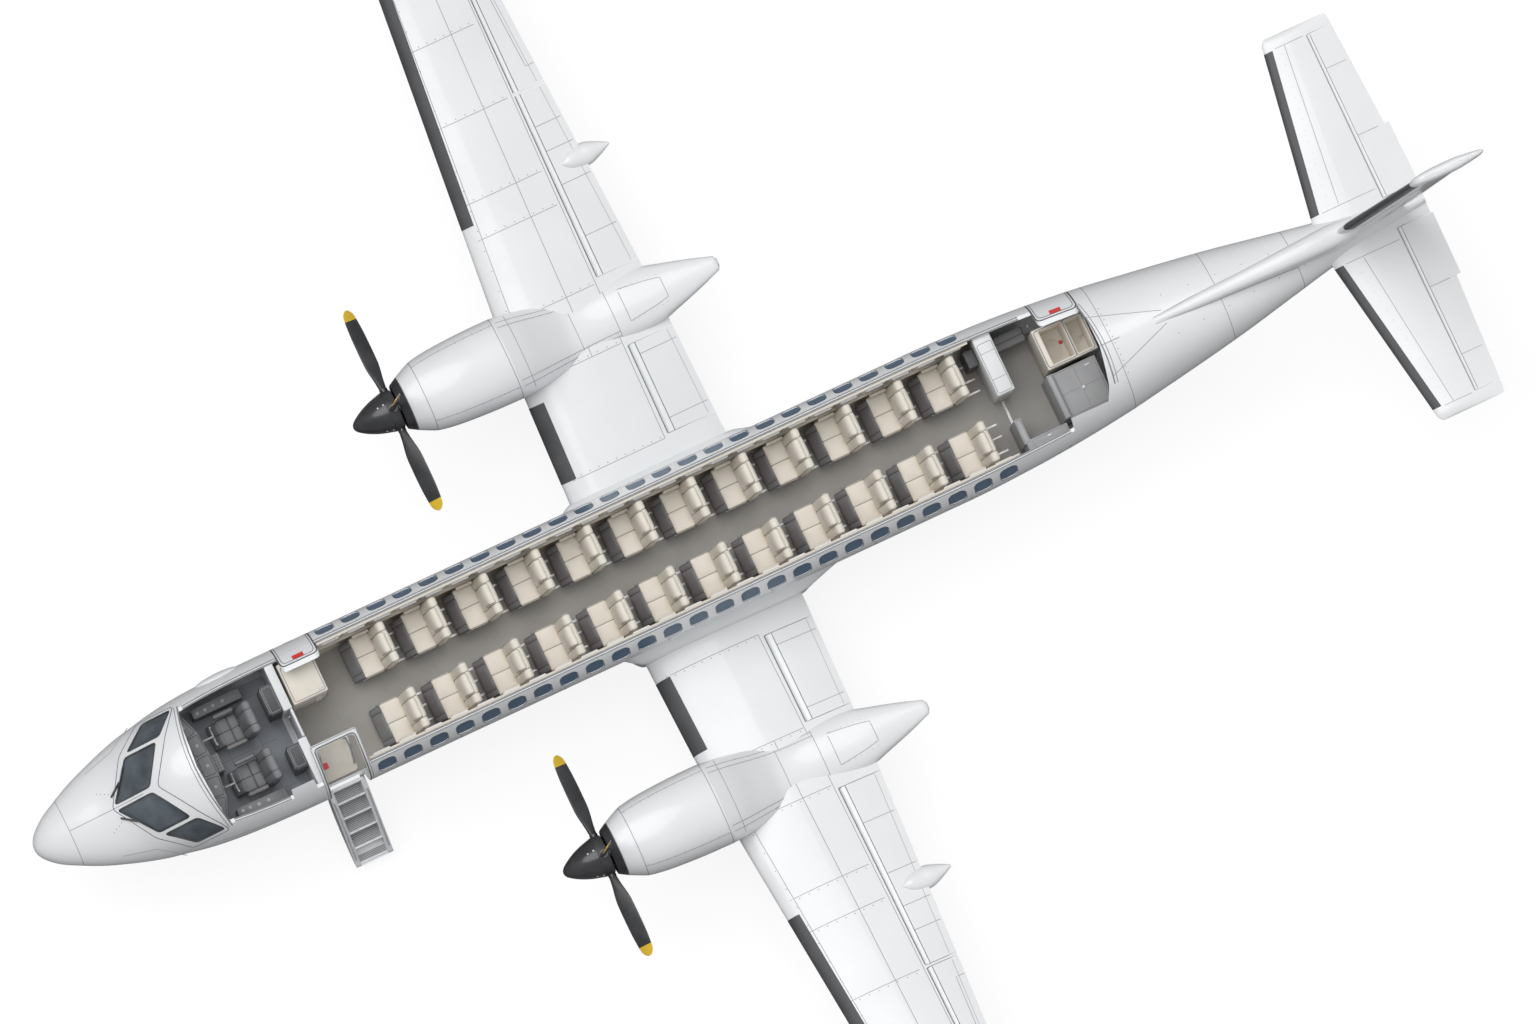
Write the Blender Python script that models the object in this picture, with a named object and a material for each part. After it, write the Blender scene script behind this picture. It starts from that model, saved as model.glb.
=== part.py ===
"""A twin-turboprop airliner on its landing gear, with the roof cut away over cockpit and cabin."""

import math

import bmesh
import bpy

GAP = 0.0003
CLEAR = 0.008

NOSE_X = -11.2
TAIL_X = 11.2
RING_SIDES = 40
CAVITY_SIDES = 24

BODY_RADIUS = 1.136
BODY_MID = 2.10
SKIN = 0.045
TAIL_SKIN = 0.035
ROOF_CUT_Z = 2.70
FLOOR_Z = 1.50
FLOOR_THICK = 0.06

# Fuselage sections: station aft of the nose tip, half width, top, bottom, widest height.
SECTIONS = (
    (0.000, 0.030, 1.830, 1.770, 1.800),
    (0.045, 0.145, 1.935, 1.665, 1.800),
    (0.130, 0.245, 2.020, 1.575, 1.805),
    (0.256, 0.348, 2.100, 1.490, 1.815),
    (0.540, 0.504, 2.225, 1.355, 1.850),
    (0.824, 0.639, 2.330, 1.255, 1.875),
    (1.108, 0.746, 2.430, 1.175, 1.900),
    (1.392, 0.842, 2.565, 1.115, 1.935),
    (1.676, 0.923, 2.790, 1.070, 1.970),
    (1.960, 0.980, 2.985, 1.035, 2.005),
    (2.244, 1.037, 3.110, 1.010, 2.035),
    (2.528, 1.076, 3.175, 0.992, 2.060),
    (2.812, 1.101, 3.205, 0.980, 2.075),
    (3.380, 1.126, 3.230, 0.967, 2.095),
    (3.950, 1.136, 3.236, 0.964, 2.100),
    (14.170, 1.136, 3.236, 0.964, 2.100),
    (15.166, 1.101, 3.232, 1.035, 2.125),
    (15.876, 1.051, 3.225, 1.125, 2.165),
    (16.728, 0.959, 3.205, 1.270, 2.230),
    (17.296, 0.873, 3.185, 1.390, 2.290),
    (18.148, 0.738, 3.145, 1.610, 2.390),
    (18.716, 0.639, 3.115, 1.780, 2.465),
    (19.426, 0.497, 3.070, 2.020, 2.570),
    (20.136, 0.355, 3.020, 2.280, 2.680),
    (20.990, 0.200, 2.960, 2.560, 2.790),
    (21.770, 0.060, 2.910, 2.770, 2.850),
)
RADOME_END = 0.540
COCKPIT_START = 1.108
FRONT_END = 4.055
CABIN_CAVITY_END = 16.700
CABIN_END = 16.850
TAIL_CAVITY_END = 20.400
TAIL_END = 21.770

# Plan outline of the roof opening: x, y.
ROOF_OPENING = (
    (-8.690, 0.00),
    (-8.640, -0.55),
    (-8.510, -1.30),
    (-7.620, -1.30),
    (-7.600, -0.84),
    (-7.250, -0.84),
    (-7.230, -1.30),
    (4.640, -1.30),
    (4.660, -0.74),
    (5.250, -0.74),
    (5.340, -0.55),
    (5.440, 0.00),
    (5.440, 0.55),
    (5.330, 1.30),
    (-8.510, 1.30),
    (-8.640, 0.55),
)

# Windscreen panes in plan on the starboard side, x, y. The port side mirrors them.
FRONT_PANE = ((-9.930, 0.045), (-9.535, 0.580), (-9.060, 0.580), (-9.400, 0.045))
SIDE_PANE = ((-9.470, 0.640), (-9.100, 0.925), (-8.670, 0.925), (-8.975, 0.640))
GLASS_EDGE = ((-10.00, 0.0), (-9.62, 0.62), (-9.18, 0.985), (-8.59, 0.985), (-8.92, 0.60), (-9.33, 0.0))
GLASS_THICK = 0.012

DOOR_GAP = 0.0003
FRONT_SERVICE_DOOR = (-7.010, -6.415, 2.940)
REAR_SERVICE_DOOR = (4.790, 5.430, 2.960)
SERVICE_SILL_Z = 1.520

# Entry door and airstair, port side. Angles are above horizontal, about the fuselage centre.
ENTRY_FRONT = -7.080
ENTRY_REAR = -6.480
FRAME_WIDTH = 0.060
ENTRY_SILL_DEG = -31.9
ENTRY_TOP_DEG = 63.0
FRAME_TOP_DEG = 67.5
FRAME_BOTTOM_DEG = -36.0
FRAME_THICK = 0.042
STAIR_HINGE_RADIUS = 1.156
STAIR_HINGE_DEG = -32.6
STAIR_CLOSE_DEG = 155.5
STAIR_SKIN = 0.050
STAIR_TREADS = 5
STRINGER = 0.080
HINGE_PIN = 0.011
HINGE_LUG = 0.030

WING_ROOT_Y = 1.26
WING_ROOT_Z = 1.24
DIHEDRAL = math.radians(6.0)
# Wing planform: span along the dihedral, leading edge, trailing edge, thickness ratio.
WING = (
    (-0.14, -2.184, 0.281, 0.170),
    (2.250, -2.114, 0.214, 0.165),
    (9.300, -1.487, -0.170, 0.120),
    (9.490, -1.360, -0.235, 0.050),
)
WING_HINGE_X = -0.400
WING_HINGE_RISE = (0.024, 0.006)
INNER_FLAP = (0.360, 1.730)
OUTER_FLAP = (2.800, 5.620)
AILERON = (5.670, 9.130)
POD = (4.46, 0.17)

TAILPLANE_Z = 2.800
TAILPLANE = (
    (0.010, 8.915, 10.578, 0.120),
    (2.860, 9.395, 10.440, 0.110),
    (2.996, 9.500, 10.400, 0.050),
)
TAILPLANE_HINGE_X = 10.083
ELEVATOR = (0.240, 2.800)

# Fin: height, leading edge, trailing edge, thickness ratio.
FIN = (
    (2.800, 8.755, 10.200, 0.125),
    (6.320, 10.161, 11.178, 0.120),
    (6.400, 10.330, 11.200, 0.060),
)
RUDDER_FOOT = (9.840, 3.340)
RUDDER_HEAD = (10.760, 6.140)
# Dorsal fin: x, half width at its foot, top height.
DORSAL = (
    (6.220, 0.035, 3.170),
    (6.900, 0.090, 3.230),
    (7.800, 0.125, 3.350),
    (8.600, 0.160, 3.520),
    (9.100, 0.175, 3.720),
    (9.400, 0.120, 3.830),
)

ENGINE_Y = 3.50
SHAFT_Z = 2.05
# Nacelle behind the firewall: x, half width, top, bottom.
NACELLE = (
    (-2.420, 0.565, 2.440, 1.400),
    (-2.1445, 0.585, 2.450, 1.310),
    (-2.1440, 0.612, 2.468, 1.283),
    (-1.900, 0.590, 2.320, 1.210),
    (-1.500, 0.530, 1.990, 1.140),
    (-1.100, 0.480, 1.740, 1.100),
    (-0.700, 0.460, 1.710, 1.090),
    (-0.300, 0.455, 1.710, 1.130),
    (0.100, 0.430, 1.710, 1.220),
    (0.400, 0.350, 1.705, 1.330),
    (0.800, 0.230, 1.690, 1.450),
    (1.150, 0.110, 1.670, 1.560),
)
COWL = (
    (-3.844, 0.341, 2.391, 1.709),
    (-3.673, 0.435, 2.478, 1.570),
    (-3.418, 0.540, 2.520, 1.470),
    (-3.000, 0.590, 2.540, 1.380),
    (-2.500, 0.612, 2.510, 1.320),
    (-2.1450, 0.615, 2.470, 1.280),
)
COWL_WALL = 0.014
# The propeller's spinner: x, radius.
SPINNER = (
    (-4.568, 0.015),
    (-4.545, 0.060),
    (-4.480, 0.115),
    (-4.380, 0.175),
    (-4.230, 0.240),
    (-4.0303, 0.296),
)
HUB = ((-4.030, 0.298), (-3.960, 0.300), (-3.880, 0.285), (-3.870, 0.240))
SHAFT_END = -3.8697
BLADE_X = -3.950
# Blade sections: radius, chord, thickness, twist in degrees from the plane of rotation.
BLADE = (
    (0.230, 0.090, 0.080, 78.0),
    (0.420, 0.130, 0.055, 74.0),
    (0.750, 0.235, 0.034, 66.0),
    (1.150, 0.250, 0.024, 59.0),
    (1.450, 0.215, 0.016, 55.0),
    (1.570, 0.120, 0.010, 53.0),
)

WHEEL_SIDES = 20
MAIN_GEAR_X = -0.750
MAIN_TYRE = (0.370, 0.210, 0.215, 0.046)
MAIN_AXLE_Z = MAIN_TYRE[0] * math.cos(math.pi / WHEEL_SIDES)
NOSE_GEAR_X = -9.000
NOSE_TYRE = (0.255, 0.150, 0.155, 0.032)
NOSE_AXLE_Z = NOSE_TYRE[0] * math.cos(math.pi / WHEEL_SIDES)
NOSE_STEER_Z = 0.560

SEAT_PITCH = 0.813
SEAT_ROWS = 12
FIRST_SEAT_X = -6.075
SEAT_INNER_Y = 0.195
SEAT_OUTER_Y = 0.836

PAINTS = {
    "white_paint": ((0.86, 0.87, 0.88), 0.0, 0.32),
    "fairing_paint": ((0.80, 0.81, 0.83), 0.0, 0.36),
    "tail_paint": ((0.86, 0.87, 0.88), 0.0, 0.32),
    "control_paint": ((0.83, 0.84, 0.86), 0.0, 0.34),
    "grey_metal": ((0.42, 0.43, 0.45), 0.8, 0.45),
    "black_blade": ((0.03, 0.03, 0.035), 0.1, 0.40),
    "tyre_rubber": ((0.04, 0.04, 0.04), 0.0, 0.80),
    "tinted_glass": ((0.10, 0.12, 0.15), 0.0, 0.08),
    "cabin_carpet": ((0.32, 0.30, 0.29), 0.0, 0.95),
    "cockpit_liner": ((0.12, 0.14, 0.17), 0.0, 0.85),
    "beige_panel": ((0.74, 0.68, 0.58), 0.0, 0.55),
    "grey_panel": ((0.60, 0.61, 0.63), 0.0, 0.55),
    "cream_leather": ((0.80, 0.73, 0.61), 0.0, 0.60),
    "grey_fabric": ((0.16, 0.17, 0.19), 0.0, 0.80),
}

solids = {}
materials = {}


# Scene and shared shapes
def clear_scene():
    for old in list(bpy.data.objects):
        bpy.data.objects.remove(old, do_unlink=True)


def collection(name, hidden):
    made = bpy.data.collections.new(name)
    bpy.context.scene.collection.children.link(made)
    made.hide_render = hidden
    return made


def paint(name):
    if name not in materials:
        colour, metal, rough = PAINTS[name]
        made = bpy.data.materials.new(name)
        made.use_nodes = True
        shader = made.node_tree.nodes["Principled BSDF"]
        shader.inputs["Base Color"].default_value = (*colour, 1.0)
        shader.inputs["Metallic"].default_value = metal
        shader.inputs["Roughness"].default_value = rough
        materials[name] = made
    return materials[name]


def loft(name, rings, colour=None, origin=(0.0, 0.0, 0.0)):
    """A closed body through rings of equal length. With no colour it is a hidden cutter."""
    grid = bmesh.new()
    rows = [[grid.verts.new([p - o for p, o in zip(point, origin)]) for point in ring] for ring in rings]
    count = len(rows[0])
    for low, high in zip(rows, rows[1:]):
        for i in range(count):
            j = (i + 1) % count
            quad = (low[i], low[j], high[j], high[i])
            if count / 4 <= i < 3 * count / 4:
                quad = quad[1:] + quad[:1]
            grid.faces.new(quad[:3])
            grid.faces.new((quad[0], *quad[2:]))
    grid.faces.new(rows[0])
    grid.faces.new(rows[-1])
    bmesh.ops.recalc_face_normals(grid, faces=grid.faces)
    mesh = bpy.data.meshes.new(name)
    grid.to_mesh(mesh)
    grid.free()
    made = bpy.data.objects.new(name, mesh)
    made.location = origin
    if colour:
        mesh.materials.append(paint(colour))
        airliner.objects.link(made)
    else:
        cutters.objects.link(made)
        made.hide_render = True
        made.display_type = "WIRE"
    solids[name] = made
    return made


def boolean(target, other, operation):
    step = target.modifiers.new(f"{operation.lower()} {other.name}", "BOOLEAN")
    step.operation = operation
    step.solver = "EXACT"
    step.object = other
    return target


def cut(target, *others):
    for other in others:
        boolean(target, other, "DIFFERENCE")
    return target


def join(target, *others):
    for other in others:
        boolean(target, other, "UNION")
    return target


def keep(target, other):
    return boolean(target, other, "INTERSECT")


def box(name, x, y, z, colour=None):
    corners = ((y[0], z[0]), (y[1], z[0]), (y[1], z[1]), (y[0], z[1]))
    return loft(name, [[(at, *corner) for corner in corners] for at in x], colour)


def plan_prism(name, outline, low, high, colour=None):
    return loft(name, [[(x, y, z) for x, y in outline] for z in (low, high)], colour)


def side_prism(name, outline, y_from, y_to, colour=None):
    return loft(name, [[(x, y, z) for x, z in outline] for y in (y_from, y_to)], colour)


def turned(name, axis, centre, profile, sides, colour=None, origin=(0.0, 0.0, 0.0)):
    """A body of revolution about X, Y or Z through centre: profile is distance along the axis, radius."""
    rings = []
    for along, radius in profile:
        ring = []
        for step in range(sides):
            angle = 2 * math.pi * (step + 0.5) / sides
            a, b = radius * math.cos(angle), radius * math.sin(angle)
            point = {"X": (along, a, b), "Y": (a, along, b), "Z": (a, b, along)}[axis]
            ring.append([p + c for p, c in zip(point, centre)])
        rings.append(ring)
    return loft(name, rings, colour, origin)


def mix(table, at):
    """The row of a table at a place between its rows."""
    at = min(max(at, table[0][0]), table[-1][0])
    for low, high in zip(table, table[1:]):
        if at <= high[0]:
            share = (at - low[0]) / (high[0] - low[0])
            return [a + (b - a) * share for a, b in zip(low, high)]
    return list(table[-1])


def body_ring(station, grow, sides):
    station, half, top, bottom, mid = mix(SECTIONS, station)
    ring = []
    for step in range(sides):
        angle = 2 * math.pi * step / sides
        rise = top - mid if math.sin(angle) > 0 else mid - bottom
        y = (half + grow) * math.cos(angle)
        ring.append((station + NOSE_X, y, mid + (rise + grow) * math.sin(angle)))
    return ring


def body(name, start, end, grow=0.0, colour=None):
    """A length of fuselage between two stations, thicker or thinner all round by grow."""
    inner = [row[0] for row in SECTIONS if start + 0.001 < row[0] < end - 0.001]
    sides = CAVITY_SIDES if grow < 0 else RING_SIDES
    return loft(name, [body_ring(station, grow, sides) for station in [start, *inner, end]], colour)


# Fuselage
def fuselage():
    roof = plan_prism("roof_opening", ROOF_OPENING, ROOF_CUT_Z, 3.60)
    body("radome", 0.0, RADOME_END - GAP, colour="tail_paint")
    front = body("fuselage_front", RADOME_END, FRONT_END - GAP, colour="white_paint")
    cut(front, body("front_cavity", COCKPIT_START, FRONT_END + 0.1, -SKIN), roof)
    for side in (1, -1):
        for label, pane in (("front", FRONT_PANE), ("side", SIDE_PANE)):
            outline = [(x, y * side) for x, y in pane]
            cut(front, plan_prism(f"{label}_pane_{side}", outline, 2.20, 3.50))
    cabin = body("fuselage_cabin", FRONT_END, CABIN_END - GAP, colour="white_paint")
    cut(cabin, body("cabin_cavity", FRONT_END - 0.1, CABIN_CAVITY_END, -SKIN), roof)
    tail = body("fuselage_tail", CABIN_END, TAIL_END, colour="white_paint")
    cut(tail, body("tail_cavity", CABIN_END - 0.1, TAIL_CAVITY_END, -TAIL_SKIN))
    for name, (x_from, x_to, top) in (("front", FRONT_SERVICE_DOOR), ("rear", REAR_SERVICE_DOOR)):
        hole = box(f"{name}_service_hole", (x_from, x_to), (0.40, 1.40), (SERVICE_SILL_Z, 3.5))
        cut(cabin, hole)
        door = body(f"service_door_{name}", FRONT_END, CABIN_END - GAP, colour="white_paint")
        cut(door, solids["cabin_cavity"])
        edge = box(
            f"{name}_service_edge",
            (x_from + DOOR_GAP, x_to - DOOR_GAP),
            (0.40, 1.40),
            (SERVICE_SILL_Z + DOOR_GAP, top),
        )
        keep(door, edge)
    cut(cabin, box("entry_hole", (-8.0, ENTRY_REAR + FRAME_WIDTH), (-1.4, -0.35), (1.430, 3.5)))


def windscreen():
    glass = body("windscreen_glass", COCKPIT_START, 3.380, -SKIN - GAP, colour="tinted_glass")
    cut(glass, body("glass_inside", COCKPIT_START - 0.284, 3.950, -SKIN - GLASS_THICK))
    outline = list(GLASS_EDGE) + [(x, -y) for x, y in GLASS_EDGE[-2:0:-1]]
    keep(glass, plan_prism("glass_edge", outline, 2.34, 3.50))


def arc_strip(x_pair, radii, degrees, step=7.5):
    """Rings of a curved strip on the port side between two angles, for the entry frame and the door."""
    steps = max(2, math.ceil((degrees[1] - degrees[0]) / step))
    angles = [math.radians(degrees[0] + (degrees[1] - degrees[0]) * i / steps) for i in range(steps + 1)]
    outer = [(-radii[1] * math.cos(a), BODY_MID + radii[1] * math.sin(a)) for a in angles]
    inner = [(-radii[0] * math.cos(a), BODY_MID + radii[0] * math.sin(a)) for a in reversed(angles)]
    return [[(x, y, z) for y, z in outer + inner] for x in x_pair]


def entry_frame():
    outer = (ENTRY_FRONT - FRAME_WIDTH, ENTRY_REAR + FRAME_WIDTH - GAP)
    radii = (BODY_RADIUS - FRAME_THICK, BODY_RADIUS)
    rings = arc_strip(outer, radii, (FRAME_BOTTOM_DEG + 0.1, FRAME_TOP_DEG))
    frame = loft("entry_door_frame", rings, "white_paint")
    hole = arc_strip((ENTRY_FRONT, ENTRY_REAR), (0.8, 1.4), (ENTRY_SILL_DEG - 1.3, ENTRY_TOP_DEG + 1.0))
    cut(frame, loft("entry_clear", hole))
    y, z = stair_hinge()
    for end, x in (("front", ENTRY_FRONT - HINGE_LUG), ("rear", ENTRY_REAR)):
        lug = ((y - 0.012, y + 0.045), (z - 0.022, z + 0.016))
        join(frame, box(f"hinge_lug_{end}", (x, x + HINGE_LUG), *lug))
        inner = x + HINGE_LUG if end == "front" else x
        reach = sorted((x + HINGE_LUG / 2, inner + (0.035 if end == "front" else -0.035)))
        pin = turned(f"hinge_pin_{end}", "X", (0.0, y, z), [(at, HINGE_PIN) for at in reach], 16)
        join(frame, pin)


# Belly fairing, saddled under the wing roots
def belly_fairing():
    full = (
        (1.260, 1.500),
        (1.260, 1.240),
        (1.260, 1.010),
        (1.150, 0.900),
        (0.880, 0.858),
        (0.580, 0.844),
        (0.290, 0.840),
        (0.000, 0.840),
    )
    fills = (
        (-2.560, 0.0),
        (-2.420, 0.45),
        (-2.260, 0.90),
        (-2.190, 1.0),
        (0.290, 1.0),
        (0.560, 0.72),
        (0.880, 0.32),
        (1.200, 0.0),
    )
    inner = []
    thin = []
    for step in range(9):
        angle = math.radians(-18.0 - 9.0 * step)
        for radius, row in ((BODY_RADIUS + GAP, inner), (BODY_RADIUS + 0.012, thin)):
            row.append((radius * math.cos(angle), BODY_MID + radius * math.sin(angle)))
    rings = []
    for x, fill in fills:
        outer = [thin[0]]
        for lean, wide in zip(thin[1:], full):
            outer.append([a + (b - a) * fill for a, b in zip(lean, wide)])
        half = [(x, y, z) for y, z in outer]
        back = [(x, y, z) for y, z in inner]
        mirror = [(x, -y, z) for x, y, z in half[-2::-1]]
        mirror_back = [(x, -y, z) for x, y, z in back[:-1]]
        rings.append(half + mirror + mirror_back + back[::-1])
    loft("belly_fairing", rings, "fairing_paint")


# Lifting surfaces
def foil(fraction, thickness):
    root = math.sqrt(fraction)
    curve = 0.2969 * root - 0.126 * fraction - 0.3516 * fraction**2 + 0.2843 * fraction**3
    return 5 * thickness * (curve - 0.1015 * fraction**4)


FRACTIONS = (1.0, 0.86, 0.70, 0.52, 0.36, 0.22, 0.11, 0.04, 0.008, 0.0)
UPPER, LOWER = 1.2, 0.8


def foil_ring(front, back, thickness, camber=(1.0, 1.0), grow=0.0):
    """Section points as x, height, from the trailing edge over the top and back underneath."""
    chord = back - front
    over = [(f, camber[0] * foil(f, thickness) * chord + grow) for f in FRACTIONS]
    under = [(f, -camber[1] * foil(f, thickness) * chord - grow) for f in FRACTIONS[-2::-1]]
    ring = []
    for fraction, height in over + under:
        stretch = grow * (2 * fraction - 1)
        ring.append((front + chord * fraction + stretch, 0.0 if fraction == 0.0 else height))
    return ring


def on_wing(side, x, span, rise):
    y = WING_ROOT_Y + span * math.cos(DIHEDRAL) - rise * math.sin(DIHEDRAL)
    return (x, side * y, WING_ROOT_Z + span * math.sin(DIHEDRAL) + rise * math.cos(DIHEDRAL))


def wing_rings(side, spans, grow=0.0):
    rings = []
    for span in spans:
        _, front, back, thickness = mix(WING, span)
        section = foil_ring(front, back, thickness, (UPPER, LOWER), grow)
        rings.append([on_wing(side, x, span, rise) for x, rise in section])
    return rings


def hinge_rise(span):
    return WING_HINGE_RISE[0] + (WING_HINGE_RISE[1] - WING_HINGE_RISE[0]) * span / 9.49


def hinge_radius(table, hinge_x, span):
    _, front, back, thickness = mix(table, span)
    return foil((hinge_x - front) / (back - front), thickness) * (back - front)


def control_section(hinge_x, rise, radius, back, back_rise=0.0):
    """A moving surface's section as x, height: round about its hinge, then straight to the trailing edge."""
    ring = []
    for step in range(7):
        angle = math.radians(90 + 30 * step)
        ring.append((hinge_x + radius * math.cos(angle), rise + radius * math.sin(angle)))
    return ring + [(back, back_rise - 0.004), (back, back_rise + 0.004)]


def boss(name, place, start, towards, radius=0.016, sides=8):
    """A short hinge boss from a fixed end wall to just short of the moving surface, along its hinge."""
    rings = []
    for share in (0.0, 1.0):
        at = start + (towards - start) * share
        rings.append([
            place(radius * math.cos(2 * math.pi * i / sides), radius * math.sin(2 * math.pi * i / sides), at)
            for i in range(sides)
        ])
    return loft(name, rings)


def wing_control(name, side, spans):
    rings = []
    for span in spans:
        radius = hinge_radius(WING, WING_HINGE_X, span)
        back = mix(WING, span)[2]
        section = control_section(WING_HINGE_X, hinge_rise(span), radius, back)
        rings.append([on_wing(side, x, span, rise) for x, rise in section])
    return loft(name, rings, "control_paint", on_wing(side, WING_HINGE_X, spans[0], hinge_rise(spans[0])))


def control_bay(name, side, spans):
    outline = []
    for span, edge in zip(spans, (-CLEAR, CLEAR)):
        outline.append((WING_HINGE_X - hinge_radius(WING, WING_HINGE_X, span) - CLEAR, span + edge))
    outline += [(0.8, spans[1] + CLEAR), (0.8, spans[0] - CLEAR)]
    return loft(name, [[on_wing(side, x, span, rise) for x, span in outline] for rise in (-0.5, 0.5)])


def wings():
    for side, label in ((-1, "left"), (1, "right")):
        wing = loft(f"wing_{label}", wing_rings(side, [row[0] for row in WING]), "white_paint")
        root = sorted((side * 0.9, side * (WING_ROOT_Y + GAP)))
        cut(wing, box(f"wing_root_{label}", (-2.6, 0.8), root, (0.5, 2.0)))
        for piece, spans in (("flap_inner", INNER_FLAP), ("flap_outer", OUTER_FLAP), ("aileron", AILERON)):
            cut(wing, control_bay(f"{piece}_bay_{label}", side, spans))
            wing_control(f"{piece}_{label}", side, spans)
            for end, span, out in (("in", spans[0], -1), ("out", spans[1], 1)):

                def place(x, rise, at):
                    return on_wing(side, WING_HINGE_X + x, at, hinge_rise(at) + rise)

                join(wing, boss(f"{piece}_{end}_boss_{label}", place, span + out * 0.03, span + out * GAP))
        span, half = POD
        rows = ((-0.27, 0.45, 0.55), (-0.10, 0.85, 0.9), (0.12, 1.0, 1.0), (0.32, 0.62, 0.6))
        rows += ((0.52, 0.08, 0.12),)
        rings = []
        for x, wide, tall in rows:
            low, high = -0.02 - 0.16 * tall, -0.02 + 0.05 * tall
            corners = ((-1, 0.3), (-0.6, 0), (0.6, 0), (1, 0.3), (1, 0.8), (0.6, 1), (-0.6, 1), (-1, 0.8))
            reach = half * wide
            rings.append([on_wing(side, x, span + reach * a, low + (high - low) * b) for a, b in corners])
        join(solids[f"flap_outer_{label}"], loft(f"pod_{label}", rings))


def tailplane():
    for side, label in ((-1, "left"), (1, "right")):
        rings = []
        for span, front, back, thickness in TAILPLANE:
            section = foil_ring(front, back, thickness)
            rings.append([(x, side * span, TAILPLANE_Z + rise) for x, rise in section])
        plane = loft(f"tailplane_{label}", rings, "tail_paint")
        cut(plane, solids["tail_grown"])
        radii = [hinge_radius(TAILPLANE, TAILPLANE_HINGE_X, span) for span in ELEVATOR]
        outline = [
            (TAILPLANE_HINGE_X - radii[0] - CLEAR, side * (ELEVATOR[0] - CLEAR)),
            (TAILPLANE_HINGE_X - radii[1] - CLEAR, side * (ELEVATOR[1] + CLEAR)),
            (11.0, side * (ELEVATOR[1] + CLEAR)),
            (11.0, side * (ELEVATOR[0] - CLEAR)),
        ]
        cut(plane, plan_prism(f"elevator_bay_{label}", outline, 2.4, 3.2))
        rings = []
        for span, radius in zip(ELEVATOR, radii):
            section = control_section(TAILPLANE_HINGE_X, 0.0, radius, mix(TAILPLANE, span)[2])
            rings.append([(x, side * span, TAILPLANE_Z + rise) for x, rise in section])
        hinge = (TAILPLANE_HINGE_X, side * ELEVATOR[0], TAILPLANE_Z)
        loft(f"elevator_{label}", rings, "control_paint", hinge)

        def place(x, rise, at):
            return (TAILPLANE_HINGE_X + x, side * at, TAILPLANE_Z + rise)

        for end, span, out in (("in", ELEVATOR[0], -1), ("out", ELEVATOR[1], 1)):
            start, towards = span + out * 0.04, span + out * GAP
            join(plane, boss(f"elevator_{end}_boss_{label}", place, start, towards, 0.012))


def fin():
    rings = []
    for height, front, back, thickness in FIN:
        rings.append([(x, across, height) for x, across in foil_ring(front, back, thickness)])
    made = loft("fin", rings, "tail_paint")
    rings = []
    for x, half, top in DORSAL:
        corners = ((half, 2.75), (half, top - 1.0 * half), (0.25 * half, top), (-0.25 * half, top))
        rings.append([(x, y, z) for y, z in corners + ((-half, top - 1.0 * half), (-half, 2.75))])
    join(made, loft("dorsal", rings))
    cut(made, solids["tail_grown"])
    run, climb = RUDDER_HEAD[0] - RUDDER_FOOT[0], RUDDER_HEAD[1] - RUDDER_FOOT[1]
    length = math.hypot(run, climb)
    aft = (climb / length, -run / length)
    rings = []
    bay = []
    for (x, z), edge in ((RUDDER_FOOT, -CLEAR), (RUDDER_HEAD, CLEAR)):
        radius = hinge_radius(FIN, x, z)
        foot, head = FIN[0], FIN[1]
        slope = (head[2] - foot[2]) / (head[0] - foot[0])
        reach = (foot[2] + slope * (z - foot[0]) - x) / (aft[0] - slope * aft[1])
        section = control_section(0.0, 0.0, radius, reach)
        rings.append([(x + aft[0] * a, across, z + aft[1] * a) for a, across in section])
        x, z = x + run / length * edge, z + climb / length * edge
        front = -radius - CLEAR
        bay.append(((x + aft[0] * front, z + aft[1] * front), (x + aft[0] * 1.2, z + aft[1] * 1.2)))
    loft("rudder", rings, "control_paint", (RUDDER_FOOT[0], 0.0, RUDDER_FOOT[1]))
    outline = [bay[0][0], bay[1][0], bay[1][1], bay[0][1]]
    cut(made, side_prism("rudder_bay", outline, -0.4, 0.4))

    def place(across, fore, at):
        x, z = RUDDER_FOOT[0] + run / length * at, RUDDER_FOOT[1] + climb / length * at
        return (x + aft[0] * fore, across, z + aft[1] * fore)

    join(made, boss("rudder_foot_boss", place, -0.05, -GAP, 0.014))
    join(made, boss("rudder_head_boss", place, length + 0.05, length + GAP, 0.014))


# Engines and propellers
def oval_rings(table, centre_y, shrink=0.0, sides=20):
    rings = []
    for x, half, top, bottom in table:
        mid, tall = (top + bottom) / 2, (top - bottom) / 2
        ring = []
        for step in range(sides):
            angle = 2 * math.pi * (step + 0.5) / sides
            a, b = math.cos(angle), math.sin(angle)
            y = (half - shrink) * math.copysign(abs(a) ** 0.88, a)
            ring.append((x, centre_y + y, mid + (tall - shrink) * math.copysign(abs(b) ** 0.88, b)))
        rings.append(ring)
    return rings


def blade_rings(turn, centre_y):
    out = (math.sin(turn), math.cos(turn))
    around = (math.cos(turn), -math.sin(turn))
    rings = []
    for radius, chord, thick, twist in BLADE:
        lean = math.radians(twist)
        ring = []
        for along, across in ((-0.5, 0), (-0.25, 0.42), (0.1, 0.5), (0.5, 0), (0.1, -0.5), (-0.25, -0.42)):
            a, t = along * chord, across * thick
            swing = a * math.cos(lean) - t * math.sin(lean)
            x = BLADE_X + a * math.sin(lean) + t * math.cos(lean)
            y = centre_y + out[0] * radius + around[0] * swing
            ring.append((x, y, SHAFT_Z + out[1] * radius + around[1] * swing))
        rings.append(ring)
    return rings


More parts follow.
